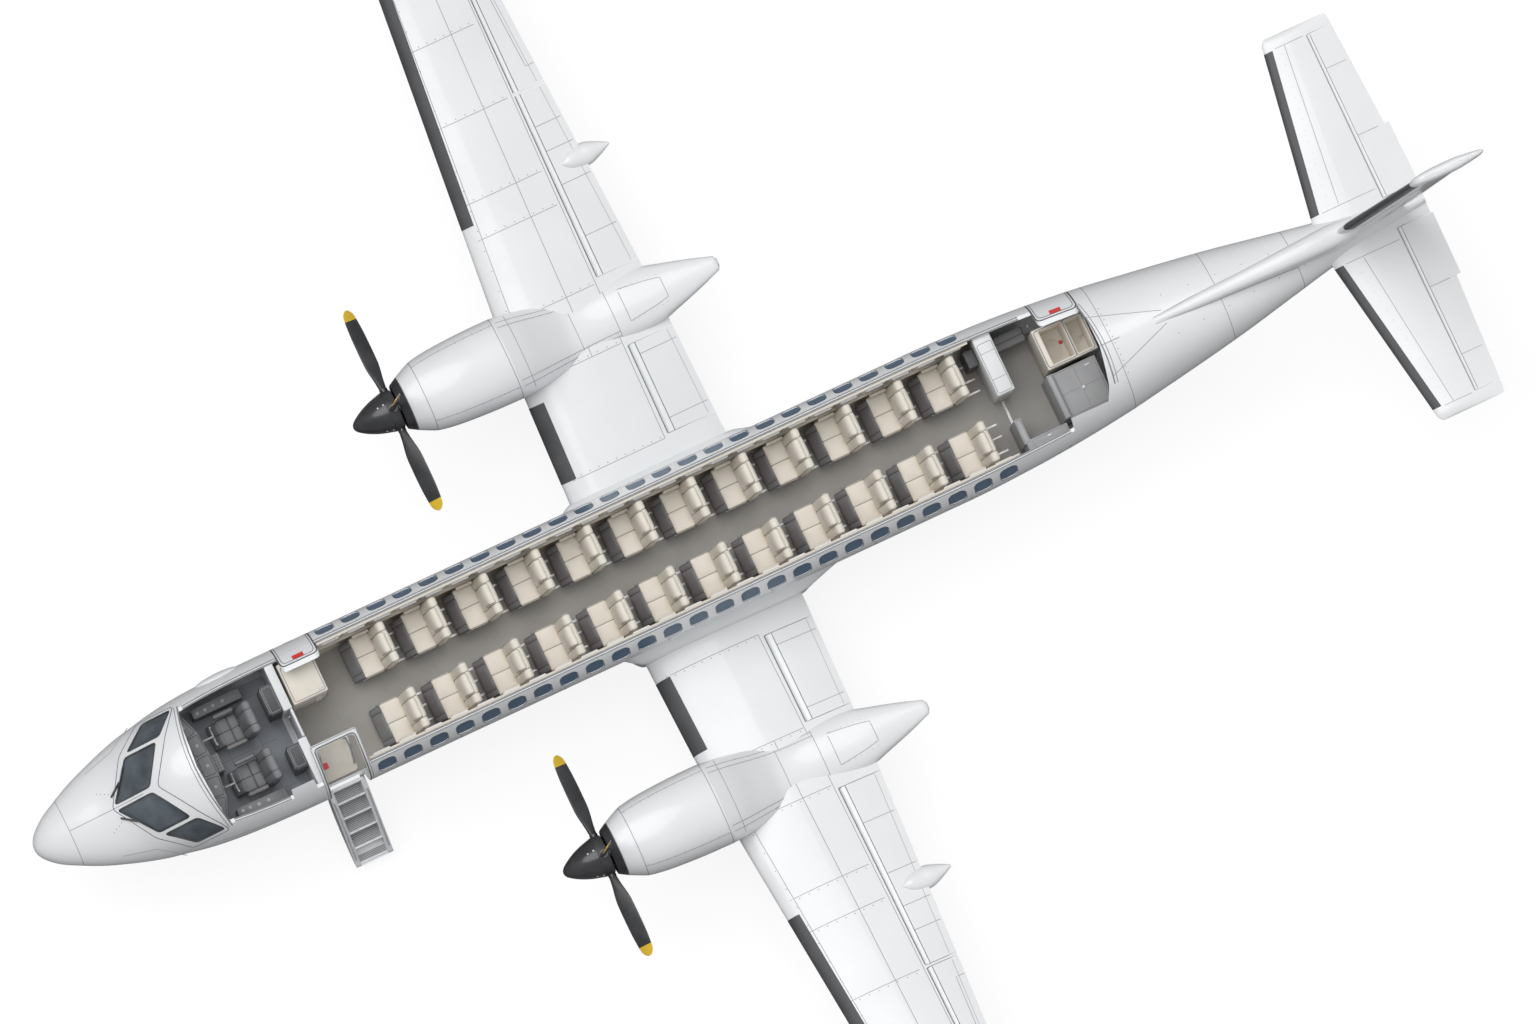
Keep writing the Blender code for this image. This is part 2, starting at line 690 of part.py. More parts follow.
def engines():
    for side, label in ((-1, "left"), (1, "right")):
        y = side * ENGINE_Y
        nacelle = loft(f"nacelle_{label}", oval_rings(NACELLE, y), "white_paint")
        cut(nacelle, loft(f"wing_grown_{label}", wing_rings(side, [row[0] for row in WING], GAP)))
        cowl = loft(f"cowl_{label}", oval_rings(COWL, y), "white_paint")
        hollow = oval_rings(COWL[:1], y, 0.03) + oval_rings(COWL[1:], y, COWL_WALL)
        nose = [(x - 0.05, *rest) for x, *rest in hollow[0]]
        rear = [(x + 0.05, *rest) for x, *rest in hollow[-1]]
        cut(cowl, loft(f"cowl_hollow_{label}", [nose, *hollow, rear]))
        steps = ((SHAFT_END, 0.06), (-3.600, 0.06), (-3.599, 0.20), (-3.000, 0.25), (-2.4203, 0.25))
        turned(f"engine_{label}", "X", (0.0, y, SHAFT_Z), steps, 20, "grey_metal")
        centre = (0.0, y, SHAFT_Z)
        hub = (BLADE_X, y, SHAFT_Z)
        turned(f"spinner_{label}", "X", centre, SPINNER, 20, "grey_metal", hub)
        blades = turned(f"blades_{label}", "X", centre, HUB, 20, "black_blade", hub)
        for quarter in range(4):
            join(blades, loft(f"blade_{quarter}_{label}", blade_rings(quarter * math.pi / 2, y)))


# Landing gear
def axle_hole(name, x, y, z, tyre):
    radius = (tyre[3] + 0.0002) / math.cos(math.pi / 40)
    return turned(name, "Y", (x, y, z), ((-0.2, radius), (0.2, radius)), 40)


def wheel_pair(name, x, y, z, tyre):
    """Two wheels on an axle along Y: tyre is radius, width, wheel's distance from the middle, axle radius."""
    radius, width, offset, axle = tyre
    rim = 0.55 * radius
    half = []
    for along, r in ((-0.5, 0.4), (-0.34, 1.0), (0.34, 1.0), (0.5, 0.4)):
        half.append((offset + along * width, radius * r if r > 0.5 else rim))
    hub = [(offset - 0.5 * width - 0.001, axle)]
    face = [(offset + 0.5 * width + 0.001, 0.12 * radius)]
    out = hub + half + face
    back = [(-along, r) for along, r in reversed(out)]
    return turned(name, "Y", (x, y, z), back + out, WHEEL_SIDES, "tyre_rubber", (x, y, z))


def gear():
    for side, label in ((-1, "left"), (1, "right")):
        y = side * ENGINE_Y
        steps = ((MAIN_AXLE_Z - 0.075, 0.050), (0.640, 0.050), (0.641, 0.075), (1.350, 0.075))
        leg = turned(f"main_gear_leg_{label}", "Z", (MAIN_GEAR_X, y, 0.0), steps, 20, "grey_metal")
        fore, aft = MAIN_GEAR_X - 0.07, MAIN_GEAR_X + 0.07
        block = box(f"axle_block_{label}", (fore, aft), (y - 0.06, y + 0.06), (0.29, 0.45))
        brace = ((-0.70, 1.25), (-0.62, 1.25), (0.02, 0.70), (-0.04, 0.66))
        brace = [(MAIN_GEAR_X + x, z) for x, z in brace]
        join(leg, block, side_prism(f"brace_{label}", brace, y - 0.03, y + 0.03))
        hole = axle_hole(f"axle_hole_{label}", MAIN_GEAR_X, y, MAIN_AXLE_Z, MAIN_TYRE)
        cut(leg, hole, loft(f"nacelle_grown_{label}", oval_rings(NACELLE, y, -GAP)))
        wheel_pair(f"main_wheels_{label}", MAIN_GEAR_X, y, MAIN_AXLE_Z, MAIN_TYRE)
    steps = ((NOSE_STEER_Z, 0.055), (1.20, 0.055))
    leg = turned("nose_gear_leg", "Z", (NOSE_GEAR_X, 0.0, 0.0), steps, 20, "grey_metal")
    brace = ((-9.52, 1.15), (-9.46, 1.15), (NOSE_GEAR_X + 0.02, 0.64), (NOSE_GEAR_X - 0.02, 0.60))
    join(leg, side_prism("nose_brace", brace, -0.025, 0.025))
    cut(leg, solids["front_grown"])
    steps = ((NOSE_AXLE_Z - 0.05, 0.036), (NOSE_STEER_Z - GAP, 0.036))
    at = (NOSE_GEAR_X, 0.0, 0.0)
    fork = turned("nose_gear_fork", "Z", at, steps, 20, "grey_metal", (NOSE_GEAR_X, 0.0, NOSE_STEER_Z))
    join(fork, box("fork_block", (NOSE_GEAR_X - 0.05, NOSE_GEAR_X + 0.05), (-0.045, 0.045), (0.20, 0.31)))
    cut(fork, axle_hole("fork_hole", NOSE_GEAR_X, 0.0, NOSE_AXLE_Z, NOSE_TYRE))
    wheel_pair("nose_wheels", NOSE_GEAR_X, 0.0, NOSE_AXLE_Z, NOSE_TYRE)


# Interior
def floors():
    cavity = solids["liner"]
    low, high = FLOOR_Z - FLOOR_THICK, FLOOR_Z
    joint = FRONT_END + NOSE_X
    keep(box("cabin_floor", (joint + 0.001, 5.495), (-1.3, 1.3), (low, high), "cabin_carpet"), cavity)
    keep(box("cockpit_floor", (-9.90, joint), (-1.3, 1.3), (low, high), "cockpit_liner"), cavity)


def unit(name, x, y, z, colour):
    return keep(box(name, x, y, z, colour), solids["liner"])


def sidewalls():
    profile = (
        (0.908, 2.700),
        (0.872, 2.700),
        (0.906, 2.350),
        (0.900, 2.000),
        (0.872, 1.750),
        (0.820, FLOOR_Z + GAP),
        (0.840, FLOOR_Z + GAP),
        (0.892, 1.745),
        (0.921, 2.000),
        (0.927, 2.350),
        (0.895, 2.680),
        (0.910, 2.680),
    )
    for side, label in ((-1, "left"), (1, "right")):
        rings = []
        for x, share in ((-6.400, 1.0), (2.970, 1.0), (3.800, 0.985)):
            rings.append([(x, side * y * share, z) for y, z in profile])
        keep(loft(f"sidewall_trim_{label}", rings, "beige_panel"), solids["liner"])


def seat_shape(name, x, inner, outer):
    """The solid of one seat facing the nose, from leg rest to headrest, between two y values."""
    profile = (
        (x + 0.20, 1.700),
        (x + 0.00, 1.620),
        (x + 0.00, 1.720),
        (x + 0.17, 1.950),
        (x + 0.46, 1.920),
        (x + 0.55, 2.600),
        (x + 0.68, 2.600),
        (x + 0.62, 1.700),
    )
    return side_prism(name, profile, inner, outer)


def seat_rows():
    for side, label in ((-1, "left"), (1, "right")):
        rail_end = FIRST_SEAT_X + SEAT_PITCH * (SEAT_ROWS - 1) + 0.66
        y = sorted((side * (SEAT_INNER_Y + 0.12), side * (SEAT_INNER_Y + 0.22)))
        rail = (FIRST_SEAT_X, rail_end), y, (FLOOR_Z + GAP, 1.56)
        rail = box(f"passenger_seats_{label}", *rail, "cream_leather")
        for row in range(SEAT_ROWS):
            x = FIRST_SEAT_X + row * SEAT_PITCH
            wide = sorted((side * 0.30, side * 0.70))
            foot = box(f"seat_foot_{label}_{row}", (x + 0.22, x + 0.50), wide, (1.53, 1.75))
            seat = seat_shape(f"seat_{label}_{row}", x, side * SEAT_INNER_Y, side * SEAT_OUTER_Y)
            join(rail, foot, seat)


def cockpit():
    wall = ((-7.210, -7.085), (-1.3, 1.3), (FLOOR_Z + GAP, ROOF_CUT_Z))
    bulkhead = unit("cockpit_bulkhead", *wall, "white_paint")
    cut(bulkhead, box("cockpit_doorway", (-7.6, -7.0), (-0.225, 0.225), (FLOOR_Z + 0.02, 2.80)))
    racks = box("rack_right", (-7.390, -7.200), (0.245, 0.680), (FLOOR_Z + GAP, 2.560))
    join(bulkhead, racks, box("rack_left", (-7.390, -7.200), (-0.600, -0.245), (FLOOR_Z + GAP, 2.560)))
    door = ((-7.125, -0.210), (-7.090, -0.210), (-7.090, 0.217), (-7.125, 0.217))
    hinge = (-7.1075, -0.195, FLOOR_Z)
    join(bulkhead, turned("door_pivot", "Z", hinge, ((0.010, 0.012), (0.0277, 0.012)), 10))
    rings = [[(x, y, z) for x, y in door] for z in (FLOOR_Z + 0.028, ROOF_CUT_Z - 0.01)]
    loft("cockpit_door", rings, "grey_panel", hinge)
    panel = unit("instrument_panel", (-9.02, -8.40), (-0.86, 0.86), (1.90, 2.42), "cockpit_liner")
    join(panel, box("pedestal", (-8.80, -8.28), (-0.14, 0.14), (FLOOR_Z + GAP, 2.10)))
    for side, label in ((-1, "left"), (1, "right")):
        inner, outer = side * 0.085, side * 0.640
        y = sorted((side * 0.20, side * 0.52))
        seat = box(f"pilot_seat_{label}", (-8.13, -7.75), y, (FLOOR_Z + GAP, 1.82), "grey_fabric")
        join(seat, seat_shape(f"pilot_{label}", -8.28, inner, outer))


def cabin_units():
    low = FLOOR_Z + GAP
    unit("front_galley", (-7.040, -6.510), (0.240, 0.860), (low, 2.660), "beige_panel")
    unit("entry_landing", (-7.040, -6.510), (-0.895, -0.360), (low, 1.530), "beige_panel")
    unit("rear_cabinet", (3.880, 4.150), (0.000, 1.2), (low, 2.640), "grey_panel")
    unit("attendant_seat", (4.190, 4.660), (0.600, 0.830), (low, 2.050), "grey_fabric")
    lavatory = unit("lavatory_unit", (4.690, 5.470), (0.030, 0.640), (low, 2.660), "beige_panel")
    cut(lavatory, box("lavatory_recess", (4.790, 5.130), (0.080, 0.590), (1.950, 2.800)))
    cut(lavatory, box("vanity_recess", (5.180, 5.410), (0.080, 0.560), (2.150, 2.800)))
    baggage = unit("baggage_unit", (4.690, 5.380), (-0.715, -0.030), (low, 2.560), "grey_panel")
    join(baggage, box("baggage_partition", (4.620, 4.700), (-0.700, -0.030), (low, 2.660)))
    side = unit("side_cabinet", (3.970, 4.610), (-1.2, -0.740), (low, 2.560), "grey_panel")
    join(side, box("side_partition", (3.940, 4.040), (-0.780, -0.400), (low, 2.560)))


# Airstair door, designed closed and then laid open about its hinge
def stair_hinge():
    angle = math.radians(STAIR_HINGE_DEG)
    return (-STAIR_HINGE_RADIUS * math.cos(angle), BODY_MID + STAIR_HINGE_RADIUS * math.sin(angle))


def opened(rings):
    hinge = stair_hinge()
    turn = math.radians(STAIR_CLOSE_DEG)
    laid = []
    for ring in rings:
        row = []
        for x, y, z in ring:
            dy, dz = y - hinge[0], z - hinge[1]
            y = hinge[0] + dy * math.cos(turn) - dz * math.sin(turn)
            row.append((x, y, hinge[1] + dy * math.sin(turn) + dz * math.cos(turn)))
        laid.append(row)
    return laid


def airstair():
    hinge = stair_hinge()
    origin = ((ENTRY_FRONT + ENTRY_REAR) / 2, *hinge)
    x_pair = (ENTRY_FRONT + CLEAR, ENTRY_REAR - CLEAR)
    degrees = (ENTRY_SILL_DEG + 0.4, ENTRY_TOP_DEG)
    radii = (BODY_RADIUS - STAIR_SKIN, BODY_RADIUS)
    door = loft("airstair_door", opened(arc_strip(x_pair, radii, degrees, 6.0)), "white_paint", origin)
    for end, x in (("front", x_pair[0]), ("rear", x_pair[1] - 0.06)):
        join(door, turned(f"knuckle_{end}", "X", (0.0, *hinge), ((x, 0.016), (x + 0.06, 0.016)), 12))
        strap = ((hinge[0] - 0.014, hinge[0] + 0.008), (hinge[1] - 0.070, hinge[1]))
        join(door, box(f"strap_{end}", (x, x + 0.06), *strap))
    bore = (HINGE_PIN + 0.0002) / math.cos(math.pi / 24)
    reach = ((x_pair[0] - 0.1, bore), (x_pair[1] + 0.1, bore))
    cut(door, turned("hinge_bore", "X", (0.0, *hinge), reach, 24))
    inside = BODY_RADIUS - STAIR_SKIN - GAP
    steps = max(2, math.ceil((degrees[1] - degrees[0]) / 6.0))
    span = (degrees[0], degrees[1])
    angles = [math.radians(span[0] + (span[1] - span[0]) * i / steps) for i in range(steps + 1)]
    arc = [(-inside * math.cos(a), BODY_MID + inside * math.sin(a)) for a in angles]
    tread_x = (x_pair[0] + STRINGER - 0.01, x_pair[1] - STRINGER + 0.01)
    left = opened([[(x, y, z) for y, z in arc] for x in (x_pair[0], x_pair[0] + STRINGER)])
    stair = loft("airstair_steps", left, "grey_panel", origin)
    right = opened([[(x, y, z) for y, z in arc] for x in (x_pair[1] - STRINGER, x_pair[1])])
    join(stair, loft("stringer_rear", right))
    ends = opened([[(0.0, *arc[0]), (0.0, *arc[-1])]])[0]
    lean = [(-(inside - 0.006) * math.cos(a), BODY_MID + (inside - 0.006) * math.sin(a)) for a in angles]
    shape = opened([[(x, y, z) for y, z in lean] for x in (x_pair[0] + 0.01, x_pair[1] - 0.01)])
    limit = loft("tread_limit", shape)
    for tread in range(1, STAIR_TREADS + 1):
        share = tread / STAIR_TREADS - 0.02
        y = ends[0][1] + (ends[1][1] - ends[0][1]) * share
        z = ends[0][2] + (ends[1][2] - ends[0][2]) * share
        slab = box(f"tread_{tread}", tread_x, (y + 0.012, y + 0.225), (z - 0.045, z - 0.002))
        join(stair, keep(slab, limit))


clear_scene()
airliner = collection("turboprop_airliner", False)
cutters = collection("cutters", True)
fuselage()
body("liner", COCKPIT_START, CABIN_CAVITY_END, -SKIN - GAP)
body("tail_grown", 16.728, TAIL_END, GAP)
body("front_grown", 0.824, FRONT_END, GAP)
windscreen()
entry_frame()
belly_fairing()
wings()
tailplane()
fin()
engines()
gear()
floors()
sidewalls()
seat_rows()
cockpit()
cabin_units()
airstair()
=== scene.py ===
import math
from functools import partial

import bmesh
import bpy
import numpy as np
from mathutils import Matrix, Vector


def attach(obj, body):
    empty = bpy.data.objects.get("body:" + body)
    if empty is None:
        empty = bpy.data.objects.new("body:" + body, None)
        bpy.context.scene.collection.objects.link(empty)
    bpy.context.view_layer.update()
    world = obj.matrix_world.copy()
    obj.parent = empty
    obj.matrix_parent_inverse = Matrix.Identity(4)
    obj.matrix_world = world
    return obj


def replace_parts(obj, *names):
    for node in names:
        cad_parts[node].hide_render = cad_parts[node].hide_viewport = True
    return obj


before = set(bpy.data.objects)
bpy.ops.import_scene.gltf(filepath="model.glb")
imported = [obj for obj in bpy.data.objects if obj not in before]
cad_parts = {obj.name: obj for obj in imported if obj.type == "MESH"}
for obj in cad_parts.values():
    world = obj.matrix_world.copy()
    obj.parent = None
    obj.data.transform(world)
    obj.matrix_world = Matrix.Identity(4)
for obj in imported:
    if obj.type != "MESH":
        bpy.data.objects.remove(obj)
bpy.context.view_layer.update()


# Fuselage skin
# The real shell is aluminium sheet riveted over frames and stringers, painted gloss white. The roof over the
# cockpit and cabin is cut away, so the shell has an outer face, an inner face and a sawn edge between them.
NOSE_X = -11.2
SKIN = 0.045
ROOF_CUT_Z = 2.7
SECTIONS = (
    # station aft of the nose tip, half width, top, bottom, widest height
    (0.000, 0.012, 1.812, 1.788, 1.800),
    (0.045, 0.145, 1.935, 1.665, 1.800),
    (0.130, 0.245, 2.020, 1.575, 1.805),
    (0.256, 0.348, 2.100, 1.490, 1.815),
    (0.540, 0.504, 2.225, 1.355, 1.850),
    (0.824, 0.639, 2.330, 1.255, 1.875),
    (1.108, 0.746, 2.430, 1.175, 1.900),
    (1.392, 0.842, 2.565, 1.115, 1.935),
    (1.676, 0.923, 2.790, 1.070, 1.970),
    (1.960, 0.980, 2.985, 1.035, 2.005),
    (2.244, 1.037, 3.110, 1.010, 2.035),
    (2.528, 1.076, 3.175, 0.992, 2.060),
    (2.812, 1.101, 3.205, 0.980, 2.075),
    (3.380, 1.126, 3.230, 0.967, 2.095),
    (3.950, 1.136, 3.236, 0.964, 2.100),
    (14.170, 1.136, 3.236, 0.964, 2.100),
    (15.166, 1.101, 3.232, 1.035, 2.125),
    (15.876, 1.051, 3.225, 1.125, 2.165),
    (16.728, 0.959, 3.205, 1.270, 2.230),
    (17.296, 0.873, 3.185, 1.390, 2.290),
    (18.148, 0.738, 3.145, 1.610, 2.390),
    (18.716, 0.639, 3.115, 1.780, 2.465),
    (19.426, 0.497, 3.070, 2.020, 2.570),
    (20.136, 0.355, 3.020, 2.280, 2.680),
    (20.990, 0.200, 2.960, 2.560, 2.790),
    (21.770, 0.060, 2.910, 2.770, 2.850),
)
ROOF_OPENING = (
    (-8.69, 0.0), (-8.64, -0.55), (-8.51, -1.3), (-7.62, -1.3), (-7.6, -0.84), (-7.25, -0.84),
    (-7.23, -1.3), (4.64, -1.3), (4.66, -0.74), (5.25, -0.74), (5.34, -0.55), (5.44, 0.0),
    (5.44, 0.55), (5.33, 1.3), (-8.51, 1.3), (-8.64, 0.55),
)
RADOME_STATION = 0.54
TAIL_STATION = 21.77


def smooth_rows(table, places):
    """Rows of a table at given places on a smooth line that never overshoots its rows."""
    rows = np.array(table, float)
    at, values = rows[:, 0], rows[:, 1:]
    steps = np.diff(at)[:, None]
    slopes = np.diff(values, axis=0) / steps
    lean = np.zeros_like(values)
    lean[0], lean[-1] = slopes[0], slopes[-1]
    same = slopes[:-1] * slopes[1:] > 0
    mean = 2 * slopes[:-1] * slopes[1:] / np.where(same, slopes[:-1] + slopes[1:], 1.0)
    lean[1:-1] = np.where(same, mean, 0.0)
    places = np.clip(np.asarray(places, float), at[0], at[-1])
    low = np.clip(np.searchsorted(at, places, side="right") - 1, 0, len(at) - 2)
    step = steps[low]
    t = (places - at[low])[:, None] / step
    rise = values[low + 1] - values[low]
    a = lean[low] * step - rise
    b = rise - lean[low + 1] * step
    return values[low] + t * rise + t * (1 - t) * ((1 - t) * a + t * b)


ROOT_SECTIONS = [(math.sqrt(row[0]), *row[1:]) for row in SECTIONS]


def skin(x, degrees, out=0.0):
    """A point on the fuselage skin: how far along, and the angle above starboard, as for the solid."""
    half, top, bottom, mid = smooth_rows(ROOT_SECTIONS, [math.sqrt(max(x - NOSE_X, 0.0))])[0]
    turn = math.radians(degrees)
    rise = top - mid if math.sin(turn) > 0 else mid - bottom
    return Vector((x, (half + out) * math.cos(turn), mid + (rise + out) * math.sin(turn)))


def skin_angle(x, z):
    """The angle at which the skin reaches a height, in degrees."""
    half, top, bottom, mid = smooth_rows(ROOT_SECTIONS, [math.sqrt(x - NOSE_X)])[0]
    rise = top - mid if z > mid else mid - bottom
    return math.degrees(math.asin(max(-1.0, min(1.0, (z - mid) / rise))))


def closed_loft(rings, loop=False):
    """Vertices and faces of a body through rings of equal length, capped at its ends or closed on itself."""
    count, rows = len(rings[0]), len(rings)
    points = [tuple(point) for ring in rings for point in ring]
    faces = []
    for row in range(rows if loop else rows - 1):
        for i in range(count):
            j = (i + 1) % count
            a, b = row * count, (row + 1) % rows * count
            faces.append((a + i, a + j, b + j, b + i))
    if not loop:
        faces.append(tuple(range(count)))
        faces.append(tuple(range(len(points) - count, len(points))))
    return points, faces


def merged(*shapes):
    """Several shapes, each vertices and faces, as one."""
    points, faces = [], []
    for more_points, more_faces in shapes:
        base = len(points)
        points += [tuple(point) for point in more_points]
        faces += [tuple(base + i for i in face) for face in more_faces]
    return points, faces


def mesh_of(name, shape, outwards=True):
    """A mesh from vertices and faces, with its normals turned outwards."""
    mesh = bpy.data.meshes.new(name)
    mesh.from_pydata(shape[0], [], shape[1])
    if outwards:
        grid = bmesh.new()
        grid.from_mesh(mesh)
        bmesh.ops.recalc_face_normals(grid, faces=grid.faces)
        grid.to_mesh(mesh)
        grid.free()
    return mesh


def shaded(mesh, sharp):
    """Smooth shading with the edges over an angle kept sharp."""
    mesh.polygons.foreach_set("use_smooth", [True] * len(mesh.polygons))
    mesh.set_sharp_from_angle(angle=math.radians(sharp))
    return mesh


def piece(name, shape, material, body="airframe", sharp=35.0, tint=None):
    """A finished piece that rides on a body. tint is a second material and a test of face centres for it."""
    mesh = shape if isinstance(shape, bpy.types.Mesh) else mesh_of(name, shape)
    made = bpy.data.objects.new(name, mesh)
    mesh.name = name
    bpy.context.scene.collection.objects.link(made)
    mesh.materials.clear()
    mesh.materials.append(material)
    if tint:
        mesh.materials.append(tint[0])
        for face in mesh.polygons:
            face.material_index = 1 if tint[1](face.center) else 0
    shaded(mesh, sharp)
    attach(made, body)
    return made


def settled(made):
    """Works a piece's modifiers into its mesh."""
    mesh = bpy.data.meshes.new_from_object(made.evaluated_get(bpy.context.evaluated_depsgraph_get()))
    made.modifiers.clear()
    made.data = mesh
    return made


def carve(made, shapes, operation="DIFFERENCE", sharp=35.0):
    """Cuts a piece with shapes, or keeps what lies in them."""
    cutters = []
    for shape in shapes:
        mesh = shape if isinstance(shape, bpy.types.Mesh) else mesh_of("cutter", shape)
        cutter = bpy.data.objects.new("cutter", mesh)
        bpy.context.scene.collection.objects.link(cutter)
        step = made.modifiers.new("carve", "BOOLEAN")
        step.operation = operation
        step.solver = "EXACT"
        step.object = cutter
        cutters.append(cutter)
    settled(made)
    for cutter in cutters:
        bpy.data.objects.remove(cutter, do_unlink=True)
    shaded(made.data, sharp)
    return made


SURFACE_INPUTS = (
    ("Colour", "Color", (0.8, 0.8, 0.8, 1.0)), ("Dirt", "Color", (0.5, 0.5, 0.5, 1.0)),
    ("Dirt share", "Float", 0.1), ("Patch scale", "Float", 1.5), ("Roughness", "Float", 0.4),
    ("Roughness spread", "Float", 0.1), ("Grain scale", "Float", 90.0), ("Grain depth", "Float", 0.05),
)
SURFACE_OUTPUTS = (("Colour", "Color"), ("Roughness", "Float"), ("Normal", "Vector"))


def new_tree(name, kind, inputs, outputs):
    """A node tree with named sockets. Each socket is name, kind and perhaps a starting value."""
    tree = bpy.data.node_groups.new(name, kind)
    for way, sockets in (("INPUT", inputs), ("OUTPUT", outputs)):
        for label, what, *value in sockets:
            socket = tree.interface.new_socket(label, in_out=way, socket_type=f"NodeSocket{what}")
            if value:
                socket.default_value = value[0]
    return tree, tree.nodes.new("NodeGroupInput").outputs, tree.nodes.new("NodeGroupOutput").inputs


def node(tree, kind, wires=None, **settings):
    """A node with its settings, and its inputs set to values or joined to other sockets."""
    made = tree.nodes.new(kind)
    for key, value in settings.items():
        setattr(made, key, value)
    for key, value in (wires or {}).items():
        if isinstance(value, bpy.types.NodeSocket):
            tree.links.new(value, made.inputs[key])
        else:
            made.inputs[key].default_value = value
    return made


def mixed(tree, share, first, second):
    """Two colours mixed by a share, as an output socket."""
    return node(tree, "ShaderNodeMix", {0: share, 6: first, 7: second}, data_type="RGBA").outputs[2]


def reckoned(tree, operation, first, second):
    """The result of a sum on two values, as an output socket."""
    return node(tree, "ShaderNodeMath", {0: first, 1: second}, operation=operation).outputs[0]


def surface_ends(tree, given, out, colour, rough, height):
    """Hands out a surface's colour and roughness, and its normal from the height of its grain."""
    bump = node(tree, "ShaderNodeBump",
                {"Strength": given["Grain depth"], "Distance": 0.001, "Height": height})
    for label, socket in (("Colour", colour), ("Roughness", rough), ("Normal", bump.outputs["Normal"])):
        tree.links.new(socket, out[label])
    return tree


def cloudy_group():
    """Large soft patches and a fine grain, as paint and moulded plastic have, with dirt in the patches."""
    tree, given, out = new_tree("patches and grain", "ShaderNodeTree", SURFACE_INPUTS, SURFACE_OUTPUTS)
    place = node(tree, "ShaderNodeTexCoord").outputs["Object"]
    patches, fine = (node(tree, "ShaderNodeTexNoise",
                          {"Vector": place, "Scale": given[scale], "Detail": detail})
                     for scale, detail in (("Patch scale", 6.0), ("Grain scale", 3.0)))
    spread = node(tree, "ShaderNodeMapRange",
                  {"Value": patches.outputs["Fac"], "From Min": 0.35, "From Max": 0.75})
    spread = spread.outputs["Result"]
    tone = mixed(tree, reckoned(tree, "MULTIPLY", spread, given["Dirt share"]), given["Colour"],
                 given["Dirt"])
    swing = reckoned(tree, "MULTIPLY", spread, given["Roughness spread"])
    rough = reckoned(tree, "ADD", given["Roughness"], swing)
    return surface_ends(tree, given, out, tone, rough, fine.outputs["Fac"])


CLOUDY = cloudy_group()


def finish(name, colour, rough, dirt=(0.5, 0.5, 0.5), share=0.08, patch=1.5, spread=0.1, grain=90.0,
           depth=0.05, group=None, **shader_values):
    """A material whose colour, roughness and bump come from a shared group, with its own values."""
    made = bpy.data.materials.new(name)
    made.use_nodes = True
    tree = made.node_tree
    shader = tree.nodes["Principled BSDF"]
    effect = node(tree, "ShaderNodeGroup", node_tree=group or CLOUDY)
    given = {"Colour": (*colour, 1.0), "Dirt": (*dirt, 1.0), "Dirt share": share, "Patch scale": patch,
             "Roughness": rough, "Roughness spread": spread, "Grain scale": grain, "Grain depth": depth}
    for key, value in given.items():
        effect.inputs[key].default_value = value
    for label, target in (("Colour", "Base Color"), ("Roughness", "Roughness"), ("Normal", "Normal")):
        tree.links.new(effect.outputs[label], shader.inputs[target])
    for key, value in shader_values.items():
        shader.inputs[key.replace("_", " ")].default_value = value
    return made


white_paint = finish("white_gloss_paint", (0.8, 0.81, 0.82), 0.3, dirt=(0.66, 0.67, 0.69), share=0.3,
                     patch=0.9, grain=40.0, depth=0.02, Coat_Weight=0.35)
seam_sealant = finish("seam_sealant", (0.3, 0.31, 0.33), 0.6)


def body_rings(stations, sides, out=0.0):
    """Rings of the fuselage at stations, thicker or thinner all round by out."""
    rings = []
    for station, (half, top, bottom, mid) in zip(stations, smooth_rows(ROOT_SECTIONS, np.sqrt(stations))):
        ring = []
        for step in range(sides):
            turn = 2 * math.pi * step / sides
            rise = top - mid if math.sin(turn) > 0 else mid - bottom
            ring.append((station + NOSE_X, (half + out) * math.cos(turn),
                         mid + (rise + out) * math.sin(turn)))
        rings.append(ring)
    return rings


def prism(outline, low, high):
    """An upright prism on a plan outline of x, y."""
    return closed_loft([[(x, y, z) for x, y in outline] for z in (low, high)])


def rectangle(x, y):
    """The four corners between two pairs of limits."""
    return [(x[0], y[0]), (x[1], y[0]), (x[1], y[1]), (x[0], y[1])]


def block(x, y, z):
    """A plain box between pairs of limits."""
    return prism(rectangle(x, y), *z)


def about(middle, half):
    """The pair of limits half a width either side of a middle."""
    return middle - half, middle + half


def circle(count):
    """Angles evenly round a circle, from 0."""
    return np.linspace(0, 2 * math.pi, count + 1)[:-1]


def spaced(start, end, step):
    """Evenly spaced places from a start to an end, near a step apart."""
    return np.linspace(start, end, max(2, round((end - start) / step) + 1))


nose_stations = np.concatenate([spaced(0.0, 0.6, 0.024) ** 2 / 0.6 * 0.9, [RADOME_STATION]])
nose_stations = np.unique(np.round(nose_stations[nose_stations <= RADOME_STATION], 4))
radome = piece("radome_shell", closed_loft(body_rings(nose_stations, 96)), white_paint)
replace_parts(radome, "radome")

hull_stations = np.concatenate([
    spaced(RADOME_STATION + 0.001, 4.0, 0.06), spaced(4.15, 14.1, 0.25), spaced(14.25, TAIL_STATION, 0.15),
])
outer_hull = closed_loft(body_rings(hull_stations, 112))
fuselage_skin = piece("fuselage_skin", outer_hull, white_paint)
hollow_stations = np.concatenate([spaced(1.108, 4.0, 0.12), spaced(4.3, 14.0, 0.6), spaced(14.3, 20.4, 0.3)])
hull_hollow = closed_loft(body_rings(hollow_stations, 72, -SKIN))

WINDOW_PITCH = 0.4065
WINDOW_COUNT = 25
FIRST_WINDOW_X = -6.19
WINDOW_WIDTH = 0.262
WINDOW_DEGREES = (13.2, 28.6)
BODY_MID = 2.1
BODY_RADIUS = 1.136


